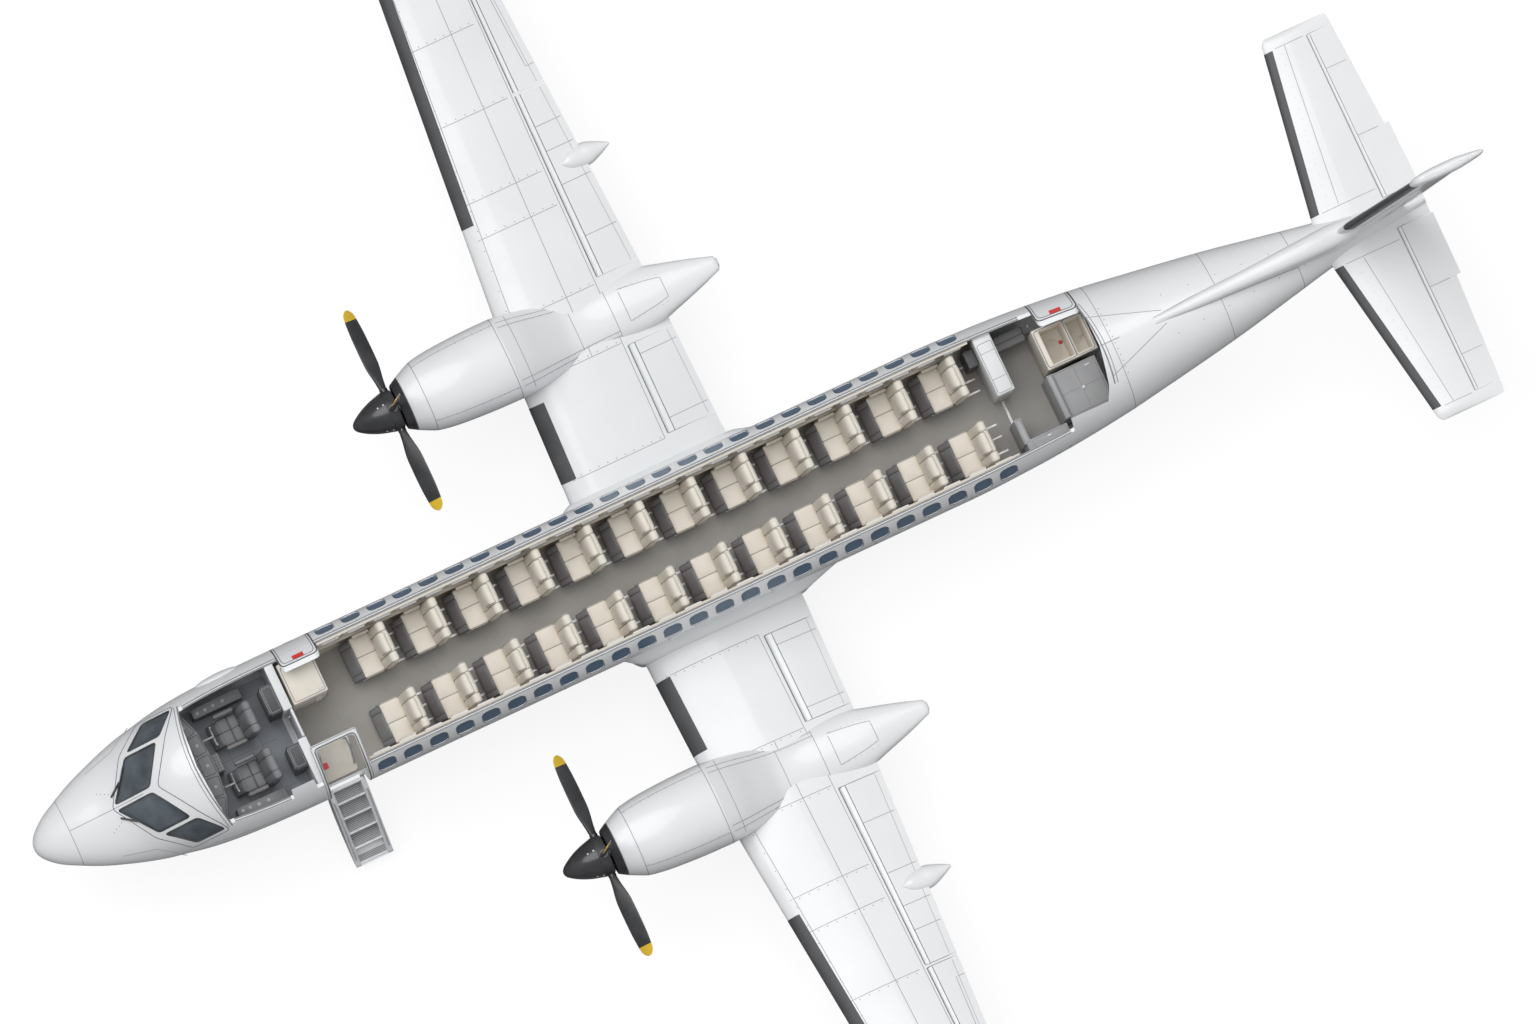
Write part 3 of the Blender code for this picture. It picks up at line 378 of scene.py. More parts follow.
def rounded(width, height, corner, steps=5):
    """Points round a rectangle with rounded corners, centred on nothing."""
    points = []
    for quarter, (a, b) in enumerate(((1, 1), (-1, 1), (-1, -1), (1, -1))):
        for step in range(steps + 1):
            turn = math.radians(90 * quarter + 90 * step / steps)
            points.append((a * (width / 2 - corner) + corner * math.cos(turn),
                           b * (height / 2 - corner) + corner * math.sin(turn)))
    return points


def window_ring(x, side, grow, out):
    """A window's outline on the skin, larger by grow all round and moved outwards by out."""
    middle = sum(WINDOW_DEGREES) / 2
    tall = math.radians(WINDOW_DEGREES[1] - WINDOW_DEGREES[0]) * BODY_RADIUS
    ring = []
    for a, b in rounded(WINDOW_WIDTH + 2 * grow, tall + 2 * grow, 0.085 + grow):
        degrees = middle + math.degrees(b / BODY_RADIUS)
        ring.append(skin(x + a, degrees if side > 0 else 180 - degrees, out))
    return ring


windows = [(FIRST_WINDOW_X + i * WINDOW_PITCH, side) for side in (1, -1) for i in range(WINDOW_COUNT)]
window_holes = merged(*[closed_loft([window_ring(x, side, 0.0, out) for out in (-0.1, 0.06)])
                        for x, side in windows])
FRONT_SERVICE_DOOR = (-7.01, -6.415, 2.94)
REAR_SERVICE_DOOR = (4.79, 5.43, 2.96)
SERVICE_SILL_Z = 1.52
FRONT_PANE = ((-9.93, 0.045), (-9.535, 0.58), (-9.06, 0.58), (-9.4, 0.045))
SIDE_PANE = ((-9.47, 0.64), (-9.1, 0.925), (-8.67, 0.925), (-8.975, 0.64))
ENTRY = (-7.14, -6.42)


def softened(outline, radius=0.045, steps=4):
    """An outline with its corners rounded."""
    points = [Vector((*point, 0.0)) for point in outline]
    soft = []
    for i, corner in enumerate(points):
        before, after = points[i - 1] - corner, points[(i + 1) % len(points)] - corner
        a, b = corner + before.normalized() * radius, corner + after.normalized() * radius
        for step in range(steps + 1):
            t = step / steps
            soft.append(tuple((a * (1 - t) ** 2 + corner * 2 * t * (1 - t) + b * t ** 2).to_2d()))
    return soft


pane_outlines = [softened([(x, y * side) for x, y in pane]) for side in (1, -1)
                 for pane in (FRONT_PANE, SIDE_PANE)]
pane_cuts = [prism(outline, 2.2, 3.5) for outline in pane_outlines]
hull_cuts = [hull_hollow, prism(ROOF_OPENING, ROOF_CUT_Z, 3.6), *pane_cuts, window_holes]
for x_from, x_to, top in (FRONT_SERVICE_DOOR, REAR_SERVICE_DOOR):
    hull_cuts.append(block((x_from, x_to), (0.4, 1.4), (SERVICE_SILL_Z, 3.5)))
hull_cuts.append(block(ENTRY, (-1.4, -0.35), (1.43, 3.5)))
carve(fuselage_skin, hull_cuts, sharp=28.0)
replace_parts(fuselage_skin, "fuselage_front", "fuselage_cabin", "fuselage_tail")


# Seams and fasteners of the body
# The sheets of the skin meet in flush joints sealed with grey compound, which show as thin lines. Beside
# some of them stand rows of small fastener heads.
def crown(x, y):
    """The point on top of the fuselage over a plan position."""
    half, top, bottom, mid = smooth_rows(ROOT_SECTIONS, [math.sqrt(x - NOSE_X)])[0]
    return Vector((x, y, mid + (top - mid) * math.sqrt(max(0.0, 1 - (y / half) ** 2))))


def flank(side):
    """A function that gives the skin's point on one side for a distance along and a height."""
    return lambda x, z: skin(x, skin_angle(x, z) if side > 0 else 180 - skin_angle(x, z))


def traced(place, corners, sign=1, step=0.1, loop=False):
    """Points and outward normals along a surface, through corners in the surface's own two numbers."""
    ends = list(corners) + ([corners[0]] if loop else [])
    path = []
    for start, end in zip(ends, ends[1:]):
        stops = [place(*(p + (q - p) * i / 12 for p, q in zip(start, end))) for i in range(13)]
        count = max(1, math.ceil(sum((b - a).length for a, b in zip(stops, stops[1:])) / step))
        path += [tuple(a + (b - a) * i / count for a, b in zip(start, end)) for i in range(count)]
    if not loop:
        path.append(ends[-1])
    reach = 0.01
    found = []
    for a, b in path:
        first = place(a + reach, b) - place(a - reach, b)
        second = place(a, b + reach) - place(a, b - reach)
        found.append((place(a, b), first.cross(second).normalized() * sign))
    return found


def strip(path, width=0.009, proud=0.0015, deep=0.004, loop=False):
    """A flat ribbon along points and normals, lying just proud of the surface."""
    rings = []
    for i, (point, normal) in enumerate(path):
        before = path[i - 1 if i or loop else 0][0]
        after = path[(i + 1) % len(path) if i + 1 < len(path) or loop else i][0]
        across = (after - before).cross(normal).normalized() * width / 2
        rings.append([point + normal * lift + across * turn
                      for turn, lift in ((-1, -deep), (1, -deep), (1, proud), (-1, proud))])
    return closed_loft(rings, loop)


def traced_strip(place, corners, sign=1, step=0.1, width=0.009, proud=0.0015, deep=0.004, loop=False):
    """A flat ribbon along a surface, through corners in the surface's own two numbers."""
    return strip(traced(place, corners, sign, step, loop), width, proud, deep, loop)


def set_on_points(tree, given, end, part, **ways):
    """Sets a part on every given point, as one real mesh in the given finish."""
    set_on = node(tree, "GeometryNodeInstanceOnPoints", {"Points": given["Points"], "Instance": part, **ways})
    real = node(tree, "GeometryNodeRealizeInstances", {"Geometry": set_on.outputs["Instances"]})
    faced = node(tree, "GeometryNodeSetMaterial",
                 {"Geometry": real.outputs["Geometry"], "Material": given["Finish"]})
    tree.links.new(faced.outputs["Geometry"], end)
    tree.is_modifier = True
    return tree


def stud_tree():
    """Small domed heads set on the points of a mesh, upright on each point's own outward direction."""
    inputs = (("Points", "Geometry"), ("Head radius", "Float"), ("Head height", "Float"),
              ("Finish", "Material"))
    tree, given, out = new_tree("fastener heads", "GeometryNodeTree", inputs, (("Heads", "Geometry"),))
    outward = node(tree, "GeometryNodeInputNamedAttribute", {"Name": "outward"}, data_type="FLOAT_VECTOR")
    aligned = node(tree, "FunctionNodeAlignRotationToVector", {"Vector": outward.outputs["Attribute"]},
                   axis="Z")
    head = node(tree, "GeometryNodeMeshUVSphere", {"Segments": 8, "Rings": 4, "Radius": 1.0})
    size = node(tree, "ShaderNodeCombineXYZ", {"X": given["Head radius"], "Y": given["Head radius"],
                                               "Z": given["Head height"]})
    return set_on_points(tree, given, out["Heads"], head.outputs["Mesh"],
                         Rotation=aligned.outputs["Rotation"], Scale=size.outputs["Vector"])


STUDS = stud_tree()


def grown(made, tree, values):
    """Runs a tree on a piece with named inputs, and keeps the result as its mesh."""
    step = made.modifiers.new(tree.name, "NODES")
    step.node_group = tree
    for item in tree.interface.items_tree:
        if item.in_out == "INPUT" and item.name in values:
            step[item.identifier] = values[item.name]
    return settled(made)


def studded(name, spots, body="airframe", radius=0.0085, height=0.002, material=None):
    """A piece of fastener heads at points with outward normals."""
    mesh = bpy.data.meshes.new(name)
    mesh.from_pydata([tuple(point) for point, normal in spots], [], [])
    outward = mesh.attributes.new("outward", "FLOAT_VECTOR", "POINT")
    outward.data.foreach_set("vector", [value for point, normal in spots for value in normal])
    made = bpy.data.objects.new(name, mesh)
    bpy.context.scene.collection.objects.link(made)
    grown(made, STUDS, {"Head radius": radius, "Head height": height, "Finish": material or fastener_steel})
    made.data.name = name
    shaded(made.data, 60.0)
    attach(made, body)
    return made


fastener_steel = finish("fastener_heads", (0.25, 0.26, 0.28), 0.45, share=0.2, patch=20.0)

body_lines, body_spots = [], []
FRAMES = (-5.05, -3.43, -1.8, -0.18, 1.45, 2.95, 4.55)
for x in (-10.15, -8.86):
    body_lines.append(traced(skin, [(x, 205.0), (x, 335.0)], -1, 0.06))
body_lines.append(traced(skin, [(-10.657, -179.9), (-10.657, 179.0)], -1, 0.05))
body_lines.append(traced(crown, [(-10.655, 0.0), (-9.52, 0.0)]))
for x in FRAMES:
    for low, high in ((-24.0, 11.5), (168.5, 204.0)):
        body_lines.append(traced(skin, [(x, low), (x, high)], -1, 0.08))
for x, low, high in ((5.62, -88.0, 268.0), (7.3, -88.0, 268.0), (8.5, -88.0, 268.0), (-6.3, 206.0, 334.0)):
    body_lines.append(traced(skin, [(x, low), (x, high)], -1, 0.05))
for degrees, drop, start, end in ((8.0, 4.0, 5.0, 10.0), (172.0, -4.0, 175.0, 170.0)):
    body_lines.append(traced(skin, [(-6.3, degrees), (2.95, degrees), (5.62, degrees - drop)], -1))
    body_lines.append(traced(skin, [(5.62, start), (9.6, end)], -1))
for side in (1, -1):
    body_lines.append(traced(crown, [(5.44, 0.46 * side), (6.45, 0.1 * side)]))
    body_lines.append(traced(crown, [(5.45, 0.0), (5.75, 0.0)]))
    body_lines.append(traced(crown, [(-10.12, 0.64 * side), (-9.66, 0.76 * side), (-9.28, 1.0 * side)]))
    for x_from, x_to, low, high in ((-10.64, -8.9, 1.8, 1.86), (-8.86, -7.16, 1.55, 1.55),
                                    (-8.86, -7.16, 2.3, 2.3)):
        body_lines.append(traced(flank(side), [(x_from, low), (x_to, high)], -side))
    for x in FRAMES:
        turns = (6.0, -22.0) if side > 0 else (174.0, 202.0)
        body_spots += traced(skin, [(x + 0.03, degrees) for degrees in turns], -1, 0.12)
    for start, end, step in (((-10.1, 0.3), (-9.95, 0.22), 0.09), ((6.55, 0.3), (8.6, 0.16), 0.42),
                             ((5.66, 0.5), (5.66, 0.05), 0.11)):
        body_spots += traced(crown, [(x, y * side) for x, y in (start, end)], 1, step)
piece("body_seams", merged(*[strip(line) for line in body_lines]), seam_sealant)
studded("body_fasteners", body_spots)


# Cabin windows
# Each window is a stretched acrylic pane, tinted dark, and set in the skin with a black rubber seal round
# its edge.
window_tint = finish("window_pane", (0.095, 0.145, 0.215), 0.22, dirt=(0.14, 0.19, 0.26), share=0.5,
                     patch=3.0, spread=0.05, depth=0.0, Specular_IOR_Level=0.15)
window_rubber = finish("window_seal", (0.075, 0.085, 0.1), 0.55, share=0.2)
panes, seals = [], []
for x, side in windows:
    panes.append(closed_loft([window_ring(x, side, -0.0005, out) for out in (-0.024, -0.012)]))
    seals.append(closed_loft([window_ring(x, side, grow, out) for grow, out in (
        (0.001, -0.014), (0.001, 0.0022), (0.011, 0.0022), (0.011, -0.014))], loop=True))
piece("window_panes", merged(*panes), window_tint)
piece("window_seals", merged(*seals), window_rubber)


# Windscreen
# Four thick laminated panes follow the curve of the nose. Each is clamped in a white frame with a black
# gasket, and a wiper rests at the foot of each front pane.
windscreen_tint = finish("windscreen_pane", (0.06, 0.072, 0.085), 0.08, dirt=(0.2, 0.23, 0.26), share=0.6,
                         patch=2.2, spread=0.04, depth=0.0, Specular_IOR_Level=0.35)
gasket_rubber = finish("gasket_rubber", (0.03, 0.032, 0.036), 0.5, share=0.2)
glass_stations = spaced(1.1, 3.0, 0.05)
windscreen = piece("windscreen_panes", closed_loft(body_rings(glass_stations, 128, -0.016)), windscreen_tint)
carve(windscreen, [closed_loft(body_rings(glass_stations + 0.02, 128, -0.03))])
carve(windscreen, [merged(*pane_cuts)], "INTERSECT")
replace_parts(windscreen, "windscreen_glass")
frame_lines = []
for outline in pane_outlines:
    frame_lines.append(traced_strip(crown, outline, 1, 0.05, 0.02, 0.0035, 0.016, loop=True))
WINDSCREEN_FRAME = ((-9.99, 0.0), (-9.6, 0.635), (-9.17, 0.965), (-8.6, 0.965), (-8.9, 0.6), (-9.3, 0.0))
around = list(WINDSCREEN_FRAME) + [(x, -y) for x, y in WINDSCREEN_FRAME[-2:0:-1]]
frame_lines.append(traced_strip(crown, softened(around, 0.07), 1, 0.05, 0.01, 0.002, 0.004, loop=True))
piece("windscreen_gaskets", merged(*frame_lines), gasket_rubber)
wipers = []
for side in (1, -1):
    for start, end, wide in (((-9.86, 0.12), (-9.6, 0.47), 0.016), ((-9.93, 0.16), (-9.74, 0.3), 0.024)):
        path = traced(crown, [(start[0], start[1] * side), (end[0], end[1] * side)], 1, 0.06)
        wipers.append(strip([(point + normal * 0.016, normal) for point, normal in path], wide, 0.01, 0.016))
piece("windscreen_wipers", merged(*wipers), gasket_rubber)


# Service doors
# Each starboard door is a pressed panel of the skin with rounded corners, and stands above the cut of the
# roof. A rubber seal runs round it, with a flush handle and a plain red plate.
def side_prism(outline, y_from, y_to):
    """A prism across the aircraft on an outline of x, z."""
    return closed_loft([[(x, y, z) for x, z in outline] for y in (y_from, y_to)])


DOOR_GAP = 0.004
red_plate = finish("red_plate", (0.7, 0.035, 0.03), 0.45, share=0.1)
starboard = flank(1)
for label, (x_from, x_to, top) in (("front", FRONT_SERVICE_DOOR), ("rear", REAR_SERVICE_DOOR)):
    low = SERVICE_SILL_Z
    door_stations = spaced(x_from - NOSE_X - 0.1, x_to - NOSE_X + 0.1, 0.12)
    door = piece(f"{label}_service_panel", closed_loft(body_rings(door_stations, 128)), white_paint)
    hollow = body_rings(spaced(door_stations[0] - 0.1, door_stations[-1] + 0.1, 0.2), 96, -SKIN)
    carve(door, [closed_loft(hollow)])
    edge = softened(rectangle((x_from + DOOR_GAP, x_to - DOOR_GAP), (low + DOOR_GAP, top)), 0.07, 6)
    carve(door, [side_prism(edge, 0.4, 1.4)], "INTERSECT")
    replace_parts(door, f"service_door_{label}")
    lines = []
    for inset, wide in ((0.012, 0.018), (0.048, 0.009)):
        ring = softened(rectangle((x_from + inset, x_to - inset), (low + inset, top - inset)), 0.07, 6)
        lines.append(traced_strip(starboard, ring, -1, 0.06, wide, 0.002, 0.004, loop=True))
    grip_x = (x_from + x_to) / 2
    grip = softened(rectangle(about(grip_x, 0.07), (2.1, 2.17)), 0.03)
    lines.append(traced_strip(starboard, grip, -1, 0.05, 0.008, 0.002, 0.004, loop=True))
    piece(f"{label}_service_seal", merged(*lines), gasket_rubber)
    plate_z = top - 0.085
    plate = traced_strip(starboard, [(x, plate_z) for x in about(grip_x, 0.085)], -1, 0.04, 0.085, 0.003)
    piece(f"{label}_service_plate", plate, red_plate)


# Starboard antenna blister
# A small fairing moulded of glass cloth and resin covers an antenna on the starboard side of the nose. It is
# pointed at both ends, lies on the skin with its rim sealed, and is painted with it.
BLISTER_X, BLISTER_HALF = -7.86, 0.34
blister = []
for share in np.linspace(-1, 1, 17):
    swell = math.sqrt(max(0.0004, 1 - share * share))
    x = BLISTER_X + BLISTER_HALF * share
    blister.append([skin(x, 12.0 + 7.0 * swell * math.cos(turn),
                         -0.006 + 0.052 * swell * max(0.0, math.sin(turn))) for turn in circle(24)])
piece("antenna_blister", closed_loft(blister), white_paint, sharp=50.0)


# Entry door frame
# A machined ring riveted into the port side carries the airstair on two hinge pins at the sill. Black
# rubber seals lie round the ring and round the clear opening.
CLEAR_X = (-7.08, -6.48)
CLEAR_DEGREES = (-33.2, 64.0)
FRAME_DEGREES = (-35.9, 67.5)
FRAME_THICK = 0.042
STAIR_HINGE = (-0.973875, 1.477181)
HINGE_LUG = 0.03
HINGE_PIN = 0.011
METRE = math.degrees(1 / BODY_RADIUS)


def port_arc(x, degrees, radius=BODY_RADIUS):
    """A point on a round about the fuselage's middle, by its angle above port."""
    turn = math.radians(degrees)
    return (x, -radius * math.cos(turn), BODY_MID + radius * math.sin(turn))


def filled_in(outline, step):
    """An outline with points added so that none of its sides is longer than a step."""
    dense = []
    for i, (a, b) in enumerate(outline):
        c, d = outline[(i + 1) % len(outline)]
        count = max(1, math.ceil(math.hypot(c - a, d - b) / step))
        dense += [(a + (c - a) * k / count, b + (d - b) * k / count) for k in range(count)]
    return dense


def arc_outline(x_pair, degrees, corner, step=0.05):
    """A rounded outline on the port side as x and degrees, from limits and a corner radius in metres."""
    flat = [(x, turn / METRE) for x, turn in rectangle(x_pair, degrees)]
    return [(x, arc * METRE) for x, arc in filled_in(softened(flat, corner, 6), step)]


def paired(outline, other):
    """The nearest point of another outline, for each point of the first."""
    return [min(other, key=lambda spot: ((spot[0] - x) * METRE) ** 2 + (spot[1] - turn) ** 2)
            for x, turn in outline]


frame_edge = arc_outline((-7.14, -6.4203), FRAME_DEGREES, 0.05, 0.04)
clear_edge = paired(frame_edge, arc_outline(CLEAR_X, CLEAR_DEGREES, 0.07, 0.004))
frame_loops = [[port_arc(x, turn, radius) for x, turn in edge] for edge, radius in (
    (frame_edge, BODY_RADIUS), (clear_edge, BODY_RADIUS), (clear_edge, BODY_RADIUS - FRAME_THICK),
    (frame_edge, BODY_RADIUS - FRAME_THICK))]
entry_ring = piece("entry_door_ring", closed_loft(frame_loops, loop=True), white_paint)
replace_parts(entry_ring, "entry_door_frame")
ring_lines = []
DOOR_SEALS = (((-7.134, -6.426), (-35.5, 67.1), 0.05, 0.06, 0.006),
              ((-7.095, -6.465), (-34.0, 64.8), 0.075, 0.04, 0.014, 0.004))
for x_pair, degrees, corner, step, *sizes in DOOR_SEALS:
    edge = arc_outline(x_pair, degrees, corner, step)
    path = traced(lambda x, turn: Vector(port_arc(x, turn)), edge, 1, 0.5, True)
    ring_lines.append(strip(path, *sizes, loop=True))
piece("entry_door_seal", merged(*ring_lines), gasket_rubber)


def turned(axis, centre, profile, sides=32):
    """A body of revolution through a centre: profile is distance along the axis and radius."""
    rings = []
    for along, radius in profile:
        ring = []
        for step in range(sides):
            turn = 2 * math.pi * step / sides
            a, b = radius * math.cos(turn), radius * math.sin(turn)
            point = {"X": (along, a, b), "Y": (a, along, b), "Z": (a, b, along)}[axis]
            ring.append([p + c for p, c in zip(point, centre)])
        rings.append(ring)
    return closed_loft(rings)


cast_steel = finish("cast_steel", (0.36, 0.37, 0.39), 0.42, dirt=(0.16, 0.16, 0.17), share=0.4, patch=14.0,
                    grain=300.0, depth=0.2, Metallic=0.85)
lugs = []
for x, towards in ((CLEAR_X[0] - HINGE_LUG, 1), (CLEAR_X[1], -1)):
    y, z = STAIR_HINGE
    lugs.append(block((x, x + HINGE_LUG), (y - 0.012, y + 0.045), (z - 0.022, z + 0.016)))
    inner = x + (HINGE_LUG if towards > 0 else 0.0)
    pin = [(at, HINGE_PIN) for at in sorted((inner, inner + 0.035 * towards))]
    lugs.append(turned("X", (0.0, y, z), pin, 20))
piece("airstair_hinge_pins", merged(*lugs), cast_steel)


# Airstair
# The lower door folds out as a stair: a curved outer skin, five ribbed aluminium treads between two box
# stringers, and tube handrails that fold down with it. It is made closed and laid open about its hinge.
STAIR_TURN = math.radians(155.5)
STAIR_X = (-7.072, -6.488)
STAIR_DEGREES = (-31.5, 63.0)
STAIR_INNER = 1.0857
STRINGER = 0.08
KNUCKLE = 0.06


def opened(points):
    """Points of the closed stair laid open about the hinge."""
    laid = []
    for x, y, z in points:
        dy, dz = y - STAIR_HINGE[0], z - STAIR_HINGE[1]
        laid.append(Vector((x, STAIR_HINGE[0] + dy * math.cos(STAIR_TURN) - dz * math.sin(STAIR_TURN),
                            STAIR_HINGE[1] + dy * math.sin(STAIR_TURN) + dz * math.cos(STAIR_TURN))))
    return laid


def stair_plate(corner, radii):
    """The open stair's curved plate between two radii, with its four corners rounded."""
    front = [(STAIR_X[0] + corner * (1 - math.cos(turn)), corner * (1 - math.sin(turn)))
             for turn in np.linspace(0, math.pi / 2, 8)]
    rings = []
    for x, inset in front + [(STAIR_X[0] + STAIR_X[1] - x, inset) for x, inset in front[::-1]]:
        trim = math.degrees(inset / BODY_RADIUS)
        turns = np.linspace(STAIR_DEGREES[0] + trim, STAIR_DEGREES[1] - trim, 41)
        rings.append(opened([port_arc(x, turn, radius) for radius, way in zip(radii, (1, -1))
                             for turn in turns[::way]]))
    return closed_loft(rings)


brushed_aluminium = finish("brushed_aluminium", (0.56, 0.57, 0.59), 0.38, dirt=(0.36, 0.37, 0.38), share=0.35,
                           patch=9.0, grain=220.0, depth=0.15, Metallic=0.35)
tread_grey = finish("tread_grey", (0.46, 0.47, 0.485), 0.55, dirt=(0.3, 0.31, 0.32), share=0.4, patch=7.0,
                    grain=300.0, depth=0.25)


def bevelled(made, wide, segments=2):
    """Rounds a piece's sharp edges."""
    step = made.modifiers.new("eased", "BEVEL")
    step.width = wide
    step.segments = segments
    step.limit_method = "ANGLE"
    settled(made)
    shaded(made.data, 40.0)
    return made


stair_skin = piece("airstair_skin", stair_plate(0.062, (STAIR_INNER + 0.001, BODY_RADIUS)), white_paint,
                   "airstair")
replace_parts(bevelled(stair_skin, 0.008), "airstair_door")
knuckles = []
for x in (STAIR_X[0], STAIR_X[1] - KNUCKLE):
    y, z = STAIR_HINGE
    x_pair = (x, x + KNUCKLE)
    knuckles.append(turned("X", (0.0, y, z), [(at, 0.016) for at in x_pair], 24))
    knuckles.append(block(x_pair, (y - 0.014, y + 0.006), (z - 0.07, z - 0.004)))
piece("airstair_knuckles", merged(*knuckles), cast_steel, "airstair")


def chord_at(share, x=0.0, rise=0.0):
    """A point along the line from the stair's top to its foot, raised straight up."""
    top, foot = opened([port_arc(x, turn, STAIR_INNER) for turn in STAIR_DEGREES])
    return top + (foot - top) * share + Vector((0, 0, rise))


def stringer(x_pair):
    """A box between two limits along, from the arc of the stair's inner face to its chord."""
    turns = np.linspace(*STAIR_DEGREES, 31)
    return closed_loft([opened([port_arc(x, turn, STAIR_INNER - 0.0005) for turn in turns]) for x in x_pair])


rails = piece("airstair_stringers", merged(stringer((STAIR_X[0] + 0.002, STAIR_X[0] + STRINGER)),
                                           stringer((STAIR_X[1] - STRINGER, STAIR_X[1] - 0.002))),
              white_paint, "airstair")
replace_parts(bevelled(rails, 0.006), "airstair_steps")
treads, ribs, risers = [], [], []
limit = closed_loft([opened([port_arc(x, turn, STAIR_INNER - 0.004)
                             for turn in np.linspace(*STAIR_DEGREES, 41)]) for x in STAIR_X])
for tread in range(1, 6):
    at = chord_at(tread / 5 - 0.02)
    x_pair = (STAIR_X[0] + STRINGER, STAIR_X[1] - STRINGER)
    treads.append(block(x_pair, (at.y + 0.012, at.y + 0.225), (at.z - 0.04, at.z - 0.004)))
    risers.append(block(x_pair, (at.y + 0.006, at.y + 0.03), (at.z - 0.045, at.z + 0.001)))
    for rib in range(7):
        y = at.y + 0.048 + rib * 0.024
        ribs.append(block((x_pair[0] + 0.015, x_pair[1] - 0.015), (y, y + 0.007),
                          (at.z - 0.006, at.z - 0.0015)))
for label, shapes, material in (("treads", treads, tread_grey), ("nosings", risers, brushed_aluminium),
                                ("tread_ribs", ribs, gasket_rubber)):
    made = piece(f"airstair_{label}", merged(*shapes), material, "airstair")
    carve(made, [limit], "INTERSECT")


def bent(points, radius, steps=6):
    """A path through points with its corners rounded."""
    points = [Vector(point) for point in points]
    path = [points[0]]
    for before, corner, after in zip(points, points[1:], points[2:]):
        reach = min(radius, (before - corner).length / 2, (after - corner).length / 2)
        a, b = corner + (before - corner).normalized() * reach, corner + (after - corner).normalized() * reach
        path += [a * (1 - t) ** 2 + corner * 2 * t * (1 - t) + b * t * t
                 for t in np.linspace(0, 1, steps + 1)]
    return path + [points[-1]]


def tube(points, radius, sides=10):
    """A round bar along a path."""
    points = [Vector(point) for point in points]
    rings, side = [], None
    for i, point in enumerate(points):
        ahead = (points[min(i + 1, len(points) - 1)] - points[max(i - 1, 0)]).normalized()
        side = ahead.orthogonal() if side is None else side
        side = (side - side.dot(ahead) * ahead).normalized()
        lift = ahead.cross(side)
        rings.append([point + (side * math.cos(turn) + lift * math.sin(turn)) * radius
                      for turn in circle(sides)])
    return closed_loft(rings)


rail_tubes, caps = [], []
for x in (STAIR_X[0] + 0.035, STAIR_X[1] - 0.035):
    path = [chord_at(share, x, rise)
            for share, rise in ((0.14, 0.004), (0.14, 0.06), (0.9, 0.06), (0.9, 0.004))]
    rail_tubes.append(tube(bent(path, 0.06), 0.011))
    for share in (0.4, 0.65):
        rail_tubes.append(tube([chord_at(share, x, 0.0), chord_at(share, x, 0.06)], 0.008, 8))
    end = chord_at(0.985, x)
    caps.append(block(about(x, 0.034), (end.y - 0.012, end.y + 0.045), (end.z - 0.012, end.z + 0.014)))
piece("airstair_handrails", merged(*rail_tubes), brushed_aluminium, "airstair")
bevelled(piece("airstair_foot_caps", merged(*caps), tread_grey, "airstair"), 0.014, 3)


# Entry landing
# Inside the door a beige moulded step covers the sill, with a bent handrail tube round its inner edge, a
# grey kick strip and a plain red plate.
beige_mould = finish("beige_moulding", (0.69, 0.645, 0.575), 0.5, dirt=(0.54, 0.49, 0.42), share=0.35,
                     patch=2.5, grain=160.0, depth=0.12)
grey_trim = finish("grey_edge_trim", (0.2, 0.205, 0.215), 0.45, share=0.2, patch=6.0)
white_mould = finish("white_moulding", (0.74, 0.75, 0.76), 0.42, dirt=(0.58, 0.59, 0.6), share=0.3, patch=3.0)


def slab(outline, low, high, soft=0.05):
    """An upright plate on a plan outline with its corners rounded."""
    return prism(softened(outline, soft, 6), low, high)


STEP_TOP = 1.545
landing_edge = rectangle((-7.03, -6.52), (-0.885, -0.375))
landing = piece("entry_step", slab(landing_edge, 1.5003, STEP_TOP, 0.06), beige_mould)
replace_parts(bevelled(landing, 0.006), "entry_landing")
hoop = [(-7.015, y, z) for y, z in ((-0.78, STEP_TOP), (-0.555, 2.42), (-0.385, 2.42))]
hoop += [(-6.545, y, z) for _, y, z in hoop[::-1]]
posts = [tube(bent(hoop, 0.1), 0.017, 12)]
for x in (-7.015, -6.545):
    posts.append(tube([(x, -0.385, STEP_TOP), (x, -0.385, 2.36), (x, -0.42, 2.42)], 0.015, 10))
piece("entry_handrail", merged(*posts), brushed_aluminium)
plate = slab(rectangle((-6.99, -6.9), (-0.7, -0.61)), STEP_TOP, 1.552, 0.012)
piece("entry_step_plate", plate, red_plate)
kick_strip = slab(rectangle((-7.02, -6.53), (-0.372, -0.35)), 1.5003, 1.535, 0.005)
piece("entry_step_strip", kick_strip, grey_trim)


# Belly fairing
# A saddle moulded of composite lies under the wing roots and meets the skin in a thin edge, where it is
# screwed down. It is full between the wings and runs out into the skin fore and aft.
FAIRING_FULL = ((1.26, 1.5), (1.26, 1.24), (1.26, 1.01), (1.15, 0.9), (0.88, 0.858), (0.58, 0.844),
                (0.29, 0.84), (0.0, 0.84))
